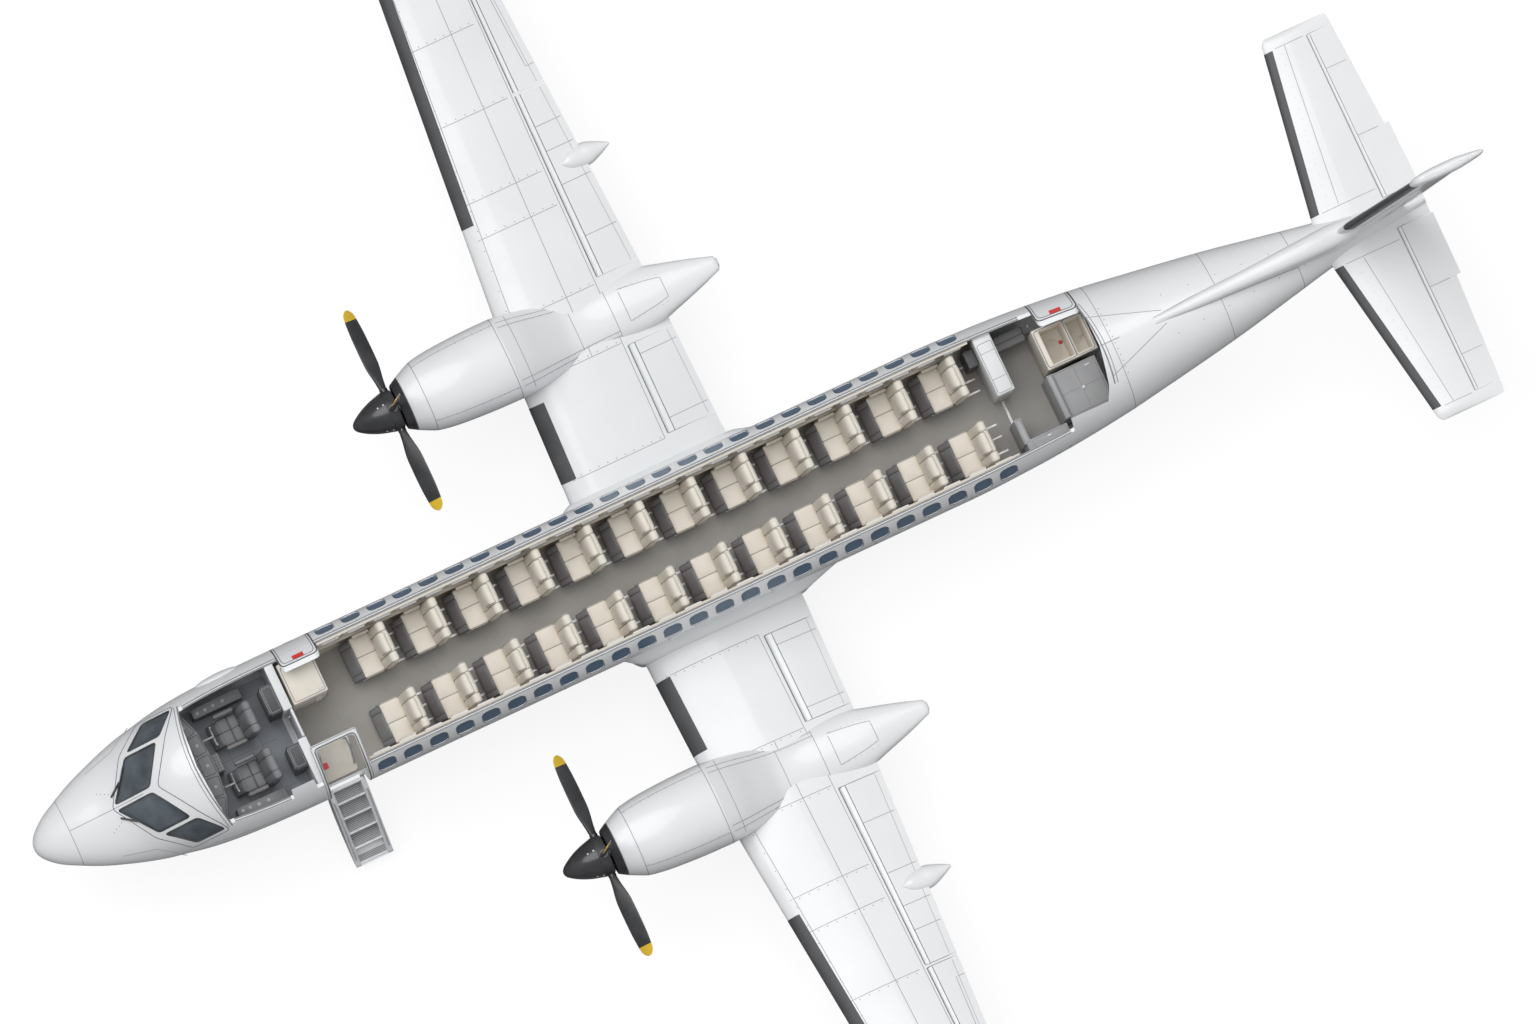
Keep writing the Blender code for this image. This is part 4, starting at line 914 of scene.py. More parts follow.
# along, how far the section is filled out from the skin
FAIRING_FILLS = ((-2.56, 0.0), (-2.42, 0.45), (-2.26, 0.9), (-2.19, 1.0), (0.29, 1.0), (0.56, 0.72),
                 (0.88, 0.32), (1.2, 0.0))
fine = np.linspace(0, len(FAIRING_FULL), 5 * len(FAIRING_FULL) + 1)
lean_rows, inner_rows = ([(step, radius * math.cos(turn), BODY_MID + radius * math.sin(turn))
                          for step, turn in enumerate(np.radians(np.arange(-18.0, -91.0, -9.0)))]
                         for radius in (BODY_RADIUS + 0.012, BODY_RADIUS - 0.002))
full_rows = [lean_rows[0]] + [(step + 1, *row) for step, row in enumerate(FAIRING_FULL)]
lean, full, inner = (smooth_rows(rows, fine) for rows in (lean_rows, full_rows, inner_rows))
rings = []
for x in np.concatenate([spaced(-2.56, -2.19, 0.037), spaced(-2.0, 0.2, 0.4), spaced(0.29, 1.2, 0.07)]):
    fill = smooth_rows(FAIRING_FILLS, [x])[0][0]
    outer = lean + (full - lean) * fill
    around = [(x, y, z) for y, z in outer] + [(x, -y, z) for y, z in outer[-2::-1]]
    back = [(x, -y, z) for y, z in inner] + [(x, y, z) for y, z in inner[-2::-1]]
    rings.append(around + back)
fairing = piece("wing_root_fairing", closed_loft(rings), white_paint, sharp=50.0)
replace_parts(fairing, "belly_fairing")


# Wings
# Each wing is an aluminium box of ribs and spars under riveted skin, with 6 degrees of dihedral. Its rear
# edge is cut away behind thin skin lips for the flaps and the aileron.
SIDES = ((-1, "left"), (1, "right"))
WING_ROOT = (1.26, 1.24)
DIHEDRAL = math.radians(6.0)
# span, leading edge, trailing edge, thickness as a share of the chord
WING = ((-0.14, -2.184, 0.281, 0.17), (2.25, -2.114, 0.214, 0.165), (9.3, -1.487, -0.17, 0.12),
        (9.49, -1.36, -0.235, 0.05))
WING_HINGE_X = -0.4
# name, inner end, outer end
CONTROLS = (("flap_inner", 0.36, 1.73), ("flap_outer", 2.8, 5.62), ("aileron", 5.67, 9.13))
UPPER, LOWER = 1.2, 0.8
CLEAR = 0.008
LIP = 0.7
FOIL_STEPS = [0.5 - 0.5 * math.cos(math.pi * step / 36) for step in range(37)]


def foil(fraction, thickness):
    """Half the thickness of a wing section at a fraction of its chord, for a chord of one."""
    curve = 0.2969 * math.sqrt(max(fraction, 0.0)) - 0.126 * fraction - 0.3516 * fraction ** 2
    return 5 * thickness * (curve + 0.2843 * fraction ** 3 - 0.1015 * fraction ** 4)


def mix(table, at):
    """The row of a table at a place between its rows."""
    at = min(max(at, table[0][0]), table[-1][0])
    for low, high in zip(table, table[1:]):
        if at <= high[0]:
            share = (at - low[0]) / (high[0] - low[0])
            return [a + (b - a) * share for a, b in zip(low, high)]


def on_wing(side, x, span, rise):
    """A wing's own place, along, out and up from its chord plane, as a point."""
    y = WING_ROOT[0] + span * math.cos(DIHEDRAL) - rise * math.sin(DIHEDRAL)
    return Vector((x, side * y, WING_ROOT[1] + span * math.sin(DIHEDRAL) + rise * math.cos(DIHEDRAL)))


def wing_skin(side, over=True, out=0.0):
    """A function that gives the wing skin's point for a distance along and a span."""
    def place(x, span):
        _, front, back, thickness = mix(WING, span)
        height = foil((x - front) / (back - front), thickness) * (back - front)
        return on_wing(side, x, span, UPPER * height + out if over else -LOWER * height - out)
    return place


def foil_ring(front, back, thickness, camber=(1.0, 1.0), grow=0.0, until=1.0):
    """Section points as x and height, from a fraction of the chord over the top and back underneath."""
    chord = back - front
    steps = [fraction * until for fraction in FOIL_STEPS]
    return [(front + chord * f + grow * (2 * f - 1), way * (bulge * foil(f, thickness) * chord + grow))
            for way, bulge, part in ((1, camber[0], steps[::-1]), (-1, camber[1], steps[1:])) for f in part]


def tip_rows(table, steps=8):
    """A surface's table with its last stretch rounded off."""
    start, end = table[-2], table[-1]
    rows = []
    for step in range(1, steps + 1):
        turn = math.pi / 2 * step / steps
        share, drop = math.sin(turn), 1 - math.cos(turn)
        rows.append((start[0] + (end[0] - start[0]) * share, start[1] + (end[1] - start[1]) * drop,
                     start[2] + (end[2] - start[2]) * drop, start[3] * max(0.12, math.cos(turn))))
    return list(table[:-1]) + rows


def hinge_rise(span):
    """How high the wing's hinge line lies over the chord plane."""
    return 0.024 - 0.018 * span / 9.49


def hinge_radius(table, hinge_x, span):
    """A moving surface's nose radius: half the section's thickness at its hinge."""
    _, front, back, thickness = mix(table, span)
    return foil((hinge_x - front) / (back - front), thickness) * (back - front)


def wing_shape(side, grow=0.0):
    """The whole wing, or one a little larger all round."""
    rows = [mix(WING, span) for span in np.linspace(-0.14, 9.28, 20)] + tip_rows(WING)[2:]
    return closed_loft([[on_wing(side, x, span, rise)
                         for x, rise in foil_ring(front, back, thick, (UPPER, LOWER), grow)]
                        for span, front, back, thick in rows])


def hinge_cuts(place, ends, extra=0.005):
    """The cuts for a moving surface behind thin skin lips, from the place and the nose radius of each end."""
    (start, first), (end, last) = ends
    start, end = start - CLEAR, end + CLEAR
    outline = [(-first * LIP, start), (-last * LIP, end), (1.3, end), (1.3, start)]
    rear = closed_loft([[place(x, rise, at) for x, at in outline] for rise in (-0.5, 0.5)])
    groove = closed_loft([[place((radius + extra) * math.cos(turn), (radius + extra) * math.sin(turn), at)
                           for turn in circle(32)] for at, radius in ((start, first), (end, last))])
    return rear, groove


def wing_hinge(side):
    """A function that gives a point by its distance behind the hinge, its height over it and its span."""
    def place(x, rise, span):
        return on_wing(side, WING_HINGE_X + x, span, hinge_rise(span) + rise)
    return place


WING_CHORD_LINES = (0.31, 1.8, 1.99, 2.72, 3.97, 4.5, 5.645, 6.8, 8.05)
for side, label in SIDES:
    wing = piece(f"wing_skin_{label}", wing_shape(side), white_paint, sharp=30.0)
    root = sorted((side * 0.9, side * 1.2603))
    carve(wing, [block((-2.6, 0.8), root, (0.5, 2.0))])
    for _, *spans in CONTROLS:
        ends = [(span, hinge_radius(WING, WING_HINGE_X, span)) for span in spans]
        carve(wing, hinge_cuts(wing_hinge(side), ends), sharp=30.0)
    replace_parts(wing, f"wing_{label}")
    lines, spots = [], []
    for over in (True, False):
        place, turn = wing_skin(side, over), side if over else -side
        for span in WING_CHORD_LINES:
            _, front, back, _ = mix(WING, span)
            lines.append(traced_strip(place, [(front + 0.16, span), (WING_HINGE_X - 0.16, span)], turn, 0.12))
            if over:
                path = [(x, span + 0.035) for x in (front + 0.3, WING_HINGE_X - 0.22)]
                spots += traced(place, path, turn, 0.155)
        for start, end, first, last in ((-1.02, -0.86, 1.8, 9.25), (-0.56, -0.455, 0.31, 9.25),
                                        (-1.9, -1.32, 1.95, 9.25)):
            lines.append(traced_strip(place, [(start, first), (end, last)], turn, 0.25))
        if over:
            spots += traced(place, [(-1.9 + 0.04, 2.9), (-1.32 + 0.04, 9.2)], turn, 0.31)
    piece(f"wing_seams_{label}", merged(*lines), seam_sealant)
    studded(f"wing_fasteners_{label}", spots)
    # A dark strip along each skin lip's edge is painted shade of the hinge gap behind it.
    lips = []
    for _, *spans in CONTROLS:
        lip = [(WING_HINGE_X - LIP * hinge_radius(WING, WING_HINGE_X, span) - 0.01, span) for span in spans]
        lips.append(traced_strip(wing_skin(side), lip, side, 0.2, 0.012))
    piece(f"wing_lip_seals_{label}", merged(*lips), gasket_rubber)


# Flaps and ailerons
# Each turns about a hinge line inside its round nose. The skins follow the wing's curve to a thin trailing
# edge, and a streamlined fairing round the outer flap covers its hinge arm.
POD = (4.46, 0.17)
# along, share of the pod's width, share of its height
POD_ROWS = ((-0.27, 0.02, 0.1), (-0.22, 0.4, 0.5), (-0.1, 0.85, 0.9), (0.12, 1.0, 1.0), (0.32, 0.62, 0.6),
            (0.5, 0.08, 0.14))
FLAP_LINES = {"flap_inner": (0.55, 1.55), "flap_outer": (3.4, 4.2, 4.72, 5.1), "aileron": (7.2, 8.4)}


def control_ring(span):
    """A wing's moving surface in section: round about its hinge, then along the foil to the trailing edge."""
    _, front, back, thickness = mix(WING, span)
    chord, radius = back - front, hinge_radius(WING, WING_HINGE_X, span)
    start = (WING_HINGE_X - front) / chord
    nose = [(WING_HINGE_X + radius * math.cos(turn), hinge_rise(span) + radius * math.sin(turn))
            for turn in np.linspace(math.pi / 2, 3 * math.pi / 2, 13)]
    tail = [start + (1 - start) * k / 8 for k in range(1, 9)]
    return nose + [(front + chord * f, bulge * foil(f, thickness) * chord)
                   for bulge, part in ((-LOWER, tail), (UPPER, tail[::-1])) for f in part]


for side, label in SIDES:
    for kind, *spans in CONTROLS:
        rings = [[on_wing(side, x, span, rise) for x, rise in control_ring(span)]
                 for span in np.linspace(*spans, 5)]
        body = f"flaps_{label}" if kind.startswith("flap") else f"{label}_aileron"
        surface = piece(f"{kind}_skin_{label}", closed_loft(rings), white_paint, body, 30.0)
        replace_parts(surface, f"{kind}_{label}")
        lines = []
        for over in (True, False):
            place, turn = wing_skin(side, over), side if over else -side
            for span in FLAP_LINES[kind]:
                path = [(WING_HINGE_X + 0.02, span), (mix(WING, span)[2] - 0.03, span)]
                lines.append(traced_strip(place, path, turn, 0.12))
            path = [(mix(WING, span)[2] - 0.1, span + inset) for span, inset in zip(spans, (0.02, -0.02))]
            lines.append(traced_strip(place, path, turn, 0.3, 0.006))
        if kind == "aileron":
            tab = [(mix(WING, span)[2], span) for span in (5.95, 7.05)]
            path = [tab[0], (tab[0][0] - 0.13, tab[0][1]), (tab[1][0] - 0.13, tab[1][1]), tab[1]]
            lines.append(traced_strip(wing_skin(side), [(x - 0.012, span) for x, span in path], side, 0.1))
        piece(f"{kind}_seams_{label}", merged(*lines), seam_sealant, body)
        nose = traced(wing_skin(side), [(WING_HINGE_X + 0.022, span) for span in spans], side, 0.2)
        piece(f"{kind}_nose_seal_{label}", strip(nose, 0.01), gasket_rubber, body)
    span, half = POD
    rings = []
    for x in np.linspace(-0.27, 0.5, 24):
        wide, tall = smooth_rows(POD_ROWS, [x])[0]
        _, front, back, thickness = mix(WING, span)
        over = UPPER * foil(min(1.0, (x - front) / (back - front)), thickness) * (back - front)
        low, high = -0.02 - 0.16 * tall, max(-0.02 + 0.05 * tall, over + 0.08 * tall - 0.012)
        middle, reach = (low + high) / 2, (high - low) / 2
        rings.append([on_wing(side, x, span + half * wide * math.cos(turn), middle + reach * math.sin(turn))
                      for turn in circle(32)])
    piece(f"flap_hinge_fairing_{label}", closed_loft(rings), white_paint, f"flaps_{label}", sharp=50.0)


# Leading edge boots
# Black rubber boots swell with air to break ice off. Each is a thin sheet glued over the leading edge, with
# a bonded border a little prouder than the skin.
boot_rubber = finish("boot_rubber", (0.052, 0.053, 0.057), 0.42, dirt=(0.12, 0.12, 0.125), share=0.4,
                     patch=2.0, spread=0.15, grain=240.0, depth=0.2)


def boot(place_ring, spans, thick=0.004):
    """A sheet round a leading edge: place_ring gives section points for a span and an offset."""
    loops = []
    for span in spans:
        loops.append(place_ring(span, thick) + place_ring(span, -0.003)[::-1])
    return closed_loft(loops)


def boot_ring(table, place, wide, camber=(1.0, 1.0)):
    """A function that gives a boot's section on a surface for a span and an offset."""
    def place_ring(span, out):
        _, front, back, thickness = mix(table, span)
        moved = []
        for x, rise in foil_ring(front, back, thickness, camber, until=wide / (back - front)):
            away = Vector((x - front - 0.5 * wide, rise)).normalized() * out
            moved.append(place(x + away.x, span, rise + away.y))
        return moved
    return place_ring


for side, label in SIDES:
    boots = [boot(boot_ring(WING, partial(on_wing, side), wide, (UPPER, LOWER)), spans)
             for wide, spans in ((0.215, (0.32, 0.9, 1.5)), (0.175, (4.2, 6.0, 7.6, 9.22)))]
    piece(f"wing_boots_{label}", merged(*boots), boot_rubber, sharp=50.0)


# Nacelles
# Riveted cowls close round each engine and run back over and under the wing to a pointed rear cone. The
# front cowl ends in a black heated lip with a chin air intake under the shaft.
ENGINE_Y = 3.5
SHAFT_Z = 2.05
OVAL = 0.88
# along, half width, top, bottom
NACELLE = ((-2.144, 0.612, 2.468, 1.283), (-1.9, 0.59, 2.32, 1.21), (-1.5, 0.53, 1.99, 1.14),
           (-1.1, 0.48, 1.74, 1.1), (-0.7, 0.46, 1.71, 1.09), (-0.3, 0.455, 1.71, 1.13),
           (0.1, 0.43, 1.71, 1.22), (0.4, 0.35, 1.705, 1.33), (0.8, 0.23, 1.69, 1.45),
           (1.15, 0.11, 1.67, 1.56))
COWL = ((-3.844, 0.341, 2.391, 1.709), (-3.673, 0.435, 2.478, 1.57), (-3.418, 0.54, 2.52, 1.47),
        (-3.0, 0.59, 2.54, 1.38), (-2.5, 0.612, 2.51, 1.32), (-2.145, 0.615, 2.47, 1.28))


def oval(table, centre, x, turn, shrink=0.0):
    """A point on an oval nacelle for a distance along and an angle above starboard."""
    half, top, bottom = smooth_rows(table, [x])[0]
    a, b = math.cos(turn), math.sin(turn)
    return Vector((x, centre + (half - shrink) * math.copysign(abs(a) ** OVAL, a),
                   (top + bottom) / 2 + ((top - bottom) / 2 - shrink) * math.copysign(abs(b) ** OVAL, b)))


def oval_ring(table, centre, x, shrink=0.0, sides=56):
    """A section of an oval nacelle, smaller all round by shrink."""
    return [oval(table, centre, x, 2 * math.pi * (step + 0.5) / sides, shrink) for step in range(sides)]


lip_black = finish("lip_black", (0.02, 0.02, 0.022), 0.38, dirt=(0.07, 0.07, 0.075), share=0.4, patch=5.0)
LIP_END = -3.735
for side, label in SIDES:
    y = side * ENGINE_Y
    rear = [oval_ring(NACELLE, y, x)
            for x in np.concatenate([spaced(-2.144, 0.8, 0.09), spaced(0.86, 1.15, 0.05)])]
    tip = [Vector((1.15 + 0.035, y, 1.615)) + (point - Vector((1.15, y, 1.615))) * 0.45 for point in rear[-1]]
    nacelle = piece(f"nacelle_skin_{label}", closed_loft(rear + [[*tip]]), white_paint,
                    sharp=50.0)
    carve(nacelle, [wing_shape(side, 0.0005)], sharp=50.0)
    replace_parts(nacelle, f"nacelle_{label}")
    along = np.concatenate([spaced(-3.844, -3.62, 0.016), spaced(-3.58, -2.145, 0.06)])
    outer = [oval_ring(COWL, y, x) for x in along]
    lip = [[point + Vector((-0.01, 0, 0)) for point in oval_ring(COWL, y, -3.844, 0.012)]]
    inner = [oval_ring(COWL, y, x, 0.014 + 0.016 * (x < -3.8)) for x in along[::-1]]
    cowl = piece(f"cowl_skin_{label}", closed_loft(outer + inner + lip, loop=True), white_paint,
                 sharp=50.0, tint=(lip_black, lambda centre: centre.x < LIP_END))
    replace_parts(cowl, f"cowl_{label}")
    lines, spots = [], []
    on_cowl, on_nacelle = partial(oval, COWL, y), partial(oval, NACELLE, y)
    for x in (LIP_END + 0.006, -3.48, -2.18):
        lines.append(traced_strip(on_cowl, [(x, 0.0), (x, 6.27)], -1, 0.05, 0.01))
    for degrees in (2, 40, 140, 178, 270):
        turn = math.radians(degrees)
        lines.append(traced_strip(on_cowl, [(-3.48, turn), (-2.18, turn)], -1, 0.12))
        for beside in (turn + 0.04, turn - 0.04):
            spots += traced(on_cowl, [(-3.44, beside), (-2.22, beside)], -1, 0.14)
    for degrees in (-4, 184):
        turn = math.radians(degrees)
        lines.append(traced_strip(on_nacelle, [(-2.12, turn), (0.95, turn)], -1, 0.12))
    for places, arc in (((-1.45, -0.38, 0.42), (188, 352)), ((-1.96, -1.2, -1.08, -0.5), (24, 156))):
        for x in places:
            lines.append(traced_strip(on_nacelle, [(x, math.radians(degrees)) for degrees in arc], -1, 0.05))
    for degrees in (38, 50, 130, 142):
        turn = math.radians(degrees)
        lines.append(traced_strip(on_nacelle, [(-2.12, turn), (-0.5, turn)], -1, 0.1))
        spots += traced(on_nacelle, [(-1.92, turn + 0.05), (-0.54, turn + 0.05)], -1, 0.14)
    panel = [(-0.3, 1.05), (0.33, 1.2), (0.33, 1.94), (-0.3, 2.09)]
    lines.append(strip(traced(on_nacelle, panel, -1, 0.05, True)))
    for turn in (1.03, 2.11):
        spots += traced(on_nacelle, [(-0.26, turn), (0.3, turn)], -1, 0.1)
    piece(f"nacelle_seams_{label}", merged(*lines), seam_sealant)
    studded(f"nacelle_fasteners_{label}", spots, radius=0.0055)
    scoop = []
    for x, wide, tall, z in ((-3.805, 0.15, 0.052, 1.662), (-3.7, 0.17, 0.066, 1.63),
                             (-3.5, 0.185, 0.075, 1.59), (-3.2, 0.15, 0.05, 1.56)):
        scoop.append([(x, y + wide * math.cos(turn), z + tall * math.sin(turn))
                      for turn in circle(32)])
    mouth = [[(x, y + (b - y) * 0.86, 1.662 + (c - 1.662) * 0.78) for _, b, c in scoop[0]]
             for x in (-3.806, -3.6)]
    chin = piece(f"chin_intake_{label}", closed_loft(scoop), white_paint, sharp=45.0,
                 tint=(lip_black, lambda centre: centre.x < -3.74))
    carve(chin, [closed_loft([[(-3.83, *point[1:]) for point in mouth[0]], mouth[1]])], sharp=45.0)
    exhaust = [(x, y + side * out, z)
               for x, out, z in ((-1.5, 0.5, 1.5), (-1.3, 0.53, 1.49), (-1.12, 0.58, 1.47))]
    piece(f"exhaust_stub_{label}", tube(exhaust, 0.085, 24), cast_steel)


# Propellers
# Four wide composite blades turn in a black spun aluminium spinner. The blades are black with yellow tips,
# and two small white spots on the spinner beside each root are painted highlights of the blade cuffs.
SPINNER = ((-4.568, 0.002), (-4.545, 0.06), (-4.48, 0.115), (-4.38, 0.175), (-4.23, 0.24), (-4.0303, 0.296))
HUB = ((-4.03, 0.298), (-3.96, 0.3), (-3.88, 0.285), (-3.87, 0.24))
BLADE_X = -3.95
# radius, chord, thickness, twist in degrees
BLADE = ((0.23, 0.09, 0.08, 78.0), (0.42, 0.13, 0.055, 74.0), (0.75, 0.235, 0.034, 66.0),
         (1.15, 0.25, 0.024, 59.0), (1.45, 0.215, 0.016, 55.0), (1.57, 0.12, 0.01, 53.0))
TIP_START = 1.415
HIGHLIGHT_TURN = math.radians(21)
blade_black = finish("blade_black", (0.026, 0.027, 0.03), 0.36, dirt=(0.075, 0.075, 0.08), share=0.5,
                     patch=4.0, spread=0.15, grain=200.0, depth=0.15)
tip_yellow = finish("tip_yellow", (0.72, 0.47, 0.025), 0.4, dirt=(0.45, 0.3, 0.03), share=0.3, patch=9.0)
spinner_black = finish("spinner_black", (0.024, 0.024, 0.027), 0.3, dirt=(0.06, 0.06, 0.065), share=0.4,
                       patch=4.0, Coat_Weight=0.4)
mark_white = finish("mark_white", (0.8, 0.8, 0.8), 0.45)


def blade_ring(turn, y, radius, sides=20):
    """A blade's section at a radius, for a blade that points out at an angle from straight up."""
    chord, thick, twist = smooth_rows(BLADE, [radius])[0]
    if radius > 1.5:
        chord *= math.sqrt(max(0.05, 1 - ((radius - 1.5) / 0.075) ** 2))
    lean = math.radians(twist)
    ring = []
    for step in range(sides):
        around = 2 * math.pi * step / sides
        a = 0.5 * chord * math.cos(around)
        t = 0.5 * thick * math.sin(around) * (1 - 0.35 * math.cos(around))
        swing = a * math.cos(lean) - t * math.sin(lean)
        ring.append(Vector((BLADE_X + a * math.sin(lean) + t * math.cos(lean),
                            y + math.sin(turn) * radius + math.cos(turn) * swing,
                            SHAFT_Z + math.cos(turn) * radius - math.sin(turn) * swing)))
    return ring


for side, label in SIDES:
    y, body = side * ENGINE_Y, f"propeller_{label}"
    centre = (0.0, y, SHAFT_Z)
    tip_x = SPINNER[0][0]
    places = [tip_x + 0.5377 * share ** 1.6 for share in np.linspace(0, 1, 22)]
    root_rows = [(math.sqrt(x - tip_x + 0.0001), radius) for x, radius in SPINNER]
    nose = [(x, smooth_rows(root_rows, [math.sqrt(x - tip_x + 0.0001)])[0][0]) for x in places]
    spinner = piece(f"spinner_cone_{label}", turned("X", centre, nose, 48), spinner_black, body)
    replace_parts(spinner, f"spinner_{label}")
    radii = np.concatenate([spaced(0.23, 1.48, 0.07), spaced(1.5, 1.568, 0.011)])
    shapes = [turned("X", centre, HUB, 48)]
    shapes += [closed_loft([blade_ring(quarter * math.pi / 2, y, radius) for radius in radii])
               for quarter in range(4)]

    def at_tip(point, y=y):
        return math.hypot(point.y - y, point.z - SHAFT_Z) > TIP_START

    prop = piece(f"propeller_blades_{label}", merged(*shapes), blade_black, body, 40.0,
                 (tip_yellow, at_tip))
    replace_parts(prop, f"blades_{label}")
    cuffs, cuff_highlights = [], []
    for quarter in range(4):
        turn = quarter * math.pi / 2
        out = Vector((0, math.sin(turn), math.cos(turn)))
        hub = Vector((BLADE_X, y, SHAFT_Z))
        cuffs.append(tube([hub + out * reach for reach in (0.285, 0.312, 0.33)], 0.06, 28))
        # Each pair of white spots beside a root is a painted highlight of the blade cuff.
        around = Vector((0, math.sin(turn + HIGHLIGHT_TURN), math.cos(turn + HIGHLIGHT_TURN)))
        for x in (-4.144, -4.056):
            spot = Vector((x, y, SHAFT_Z)) + around * (smooth_rows(SPINNER, [x])[0][0] - 0.001)
            normal = (around + Vector((-0.25, 0, 0))).normalized()
            path = [(spot + Vector((ahead, 0, 0)), normal) for ahead in (-0.018, 0.0, 0.018)]
            cuff_highlights.append(strip(path, 0.018, 0.002, 0.004))
    piece(f"blade_cuffs_{label}", merged(*cuffs), spinner_black, body)
    piece(f"root_marks_{label}", merged(*cuff_highlights), mark_white, body)
    back_ring = turned("X", centre, ((-4.034, 0.286), (-4.03, 0.3005), (-4.024, 0.3005), (-4.02, 0.286)), 64)
    piece(f"spinner_backplate_{label}", back_ring, lip_black, body)


# Tailplane and elevators
# A symmetric aluminium tailplane is bolted through the tail cone. Each elevator hangs behind it in two
# spans, the inner one with the deeper chord, and rubber boots cover the leading edges.
TAIL_Z = 2.8
TAILPLANE = ((0.01, 8.915, 10.578, 0.12), (2.86, 9.395, 10.44, 0.11), (2.996, 9.5, 10.4, 0.05))
TAIL_HINGE_X = 10.083
ELEVATOR = (0.24, 2.8)
ELEVATOR_EDGE = ((0.24, 10.6), (1.19, 10.59), (1.2, 10.522), (2.8, 10.443))
tail_core = closed_loft(body_rings(spaced(17.0, TAIL_STATION, 0.2), 96, -0.004))


def on_tail(side, x, span, rise):
    """A tailplane's own place, along, out and up from its middle plane, as a point."""
    return Vector((x, side * span, TAIL_Z + rise))


def blunt_ring(radius, reach):
    """A straight moving surface in section: round about its hinge, then tapering to a thin trailing edge."""
    nose = [(radius * math.cos(turn), radius * math.sin(turn))
            for turn in np.linspace(math.pi / 2, 3 * math.pi / 2, 13)]
    tail = [(reach * share, radius * (1 - share) ** 0.93 + 0.003 * share)
            for share in np.linspace(0.1, 1.0, 9)]
    return nose + [(x, -rise) for x, rise in tail] + tail[::-1]


def straight_skin(table, place, sign=1):
    """A function that gives a straight surface's skin for a distance along and a span."""
    def point(x, span):
        _, front, back, thickness = mix(table, span)
        return place(x, span, sign * foil((x - front) / (back - front), thickness) * (back - front))
    return point


for side, label in SIDES:
    place = partial(on_tail, side)
    rows = [mix(TAILPLANE, span) for span in np.linspace(0.01, 2.85, 8)] + tip_rows(TAILPLANE)[1:]
    rings = [[place(x, span, rise) for x, rise in foil_ring(front, back, thick)]
             for span, front, back, thick in rows]
    plane = piece(f"tailplane_skin_{label}", closed_loft(rings), white_paint, sharp=30.0)
    ends = [(span, hinge_radius(TAILPLANE, TAIL_HINGE_X, span)) for span in ELEVATOR]
    carve(plane, hinge_cuts(lambda x, rise, span: place(TAIL_HINGE_X + x, span, rise), ends, extra=0.004))
    carve(plane, [tail_core], sharp=30.0)
    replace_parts(plane, f"tailplane_{label}")
    rings = []
    for span in (0.24, 0.7, 1.19, 1.191, 1.7, 2.25, 2.8):
        edge = mix(ELEVATOR_EDGE, 1.2 if span == 1.191 else span)[1]
        ring = blunt_ring(hinge_radius(TAILPLANE, TAIL_HINGE_X, span), edge - TAIL_HINGE_X)
        rings.append([place(TAIL_HINGE_X + x, span, rise) for x, rise in ring])
    body = f"{label}_elevator"
    surface = piece(f"elevator_skin_{label}", closed_loft(rings), white_paint, body, 30.0)
    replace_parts(surface, f"elevator_{label}")
    lines, moving = [], []
    for sign in (1, -1):
        point = straight_skin(TAILPLANE, place, sign)
        for span in (0.4, 2.81):
            front = mix(TAILPLANE, span)[1]
            path = [(front + 0.17, span), (TAIL_HINGE_X - 0.09, span)]
            lines.append(traced_strip(point, path, side * sign, 0.12, 0.008))
        lines.append(traced_strip(point, [(9.42, 0.42), (9.7, 2.8)], side * sign, 0.2, 0.008))
        # The dark strip along the lip edge is painted shade of the elevator's hinge gap.
        lip = [(TAIL_HINGE_X - LIP * radius - 0.008, span) for span, radius in ends]
        lines.append(traced_strip(point, lip, side * sign, 0.2, 0.014))
        path = [(TAIL_HINGE_X + 0.012, span) for span in (0.25, 2.79)]
        moving.append(traced_strip(point, path, side * sign, 0.2, 0.012))
        for span in (1.196, 2.25):
            path = [(TAIL_HINGE_X + 0.02, span), (10.42, span)]
            moving.append(traced_strip(point, path, side * sign, 0.1, 0.008))
        moving.append(traced_strip(point, [(10.43, 0.27), (10.4, 1.17)], side * sign, 0.2, 0.006))
    piece(f"tailplane_seams_{label}", merged(*lines), seam_sealant)
    piece(f"elevator_seams_{label}", merged(*moving), seam_sealant, body)
    strip_boot = boot(boot_ring(TAILPLANE, place, 0.125), (0.4, 1.2, 2.0, 2.8))
    piece(f"tailplane_boot_{label}", strip_boot, boot_rubber, sharp=50.0)
    studded(f"tailplane_fasteners_{label}",
            traced(straight_skin(TAILPLANE, place), [(9.3, 0.6), (9.62, 2.7)], side, 0.17), radius=0.005)


# Fin, dorsal fin and rudder
# The swept fin stands on the tail cone and runs forward as a low dorsal fin with a rounded nose. The rudder
# turns on the fin's rear spar, and a moulded cap closes the top.
FIN = ((2.8, 8.755, 10.2, 0.125), (6.32, 10.161, 11.178, 0.12), (6.4, 10.33, 11.2, 0.06))
RUDDER_FOOT = Vector((9.84, 0.0, 3.34))
RUDDER_HEAD = Vector((10.76, 0.0, 6.14))
# along, half width, top
DORSAL = ((6.22, 0.035, 3.17), (6.9, 0.09, 3.23), (7.8, 0.125, 3.35), (8.6, 0.16, 3.52),
          (9.1, 0.175, 3.72), (9.4, 0.12, 3.83))
FIN_CAP_Z = 6.16


def on_fin(x, height, across):
    """The fin's own place, along, up and across, as a point."""
    return Vector((x, across, height))


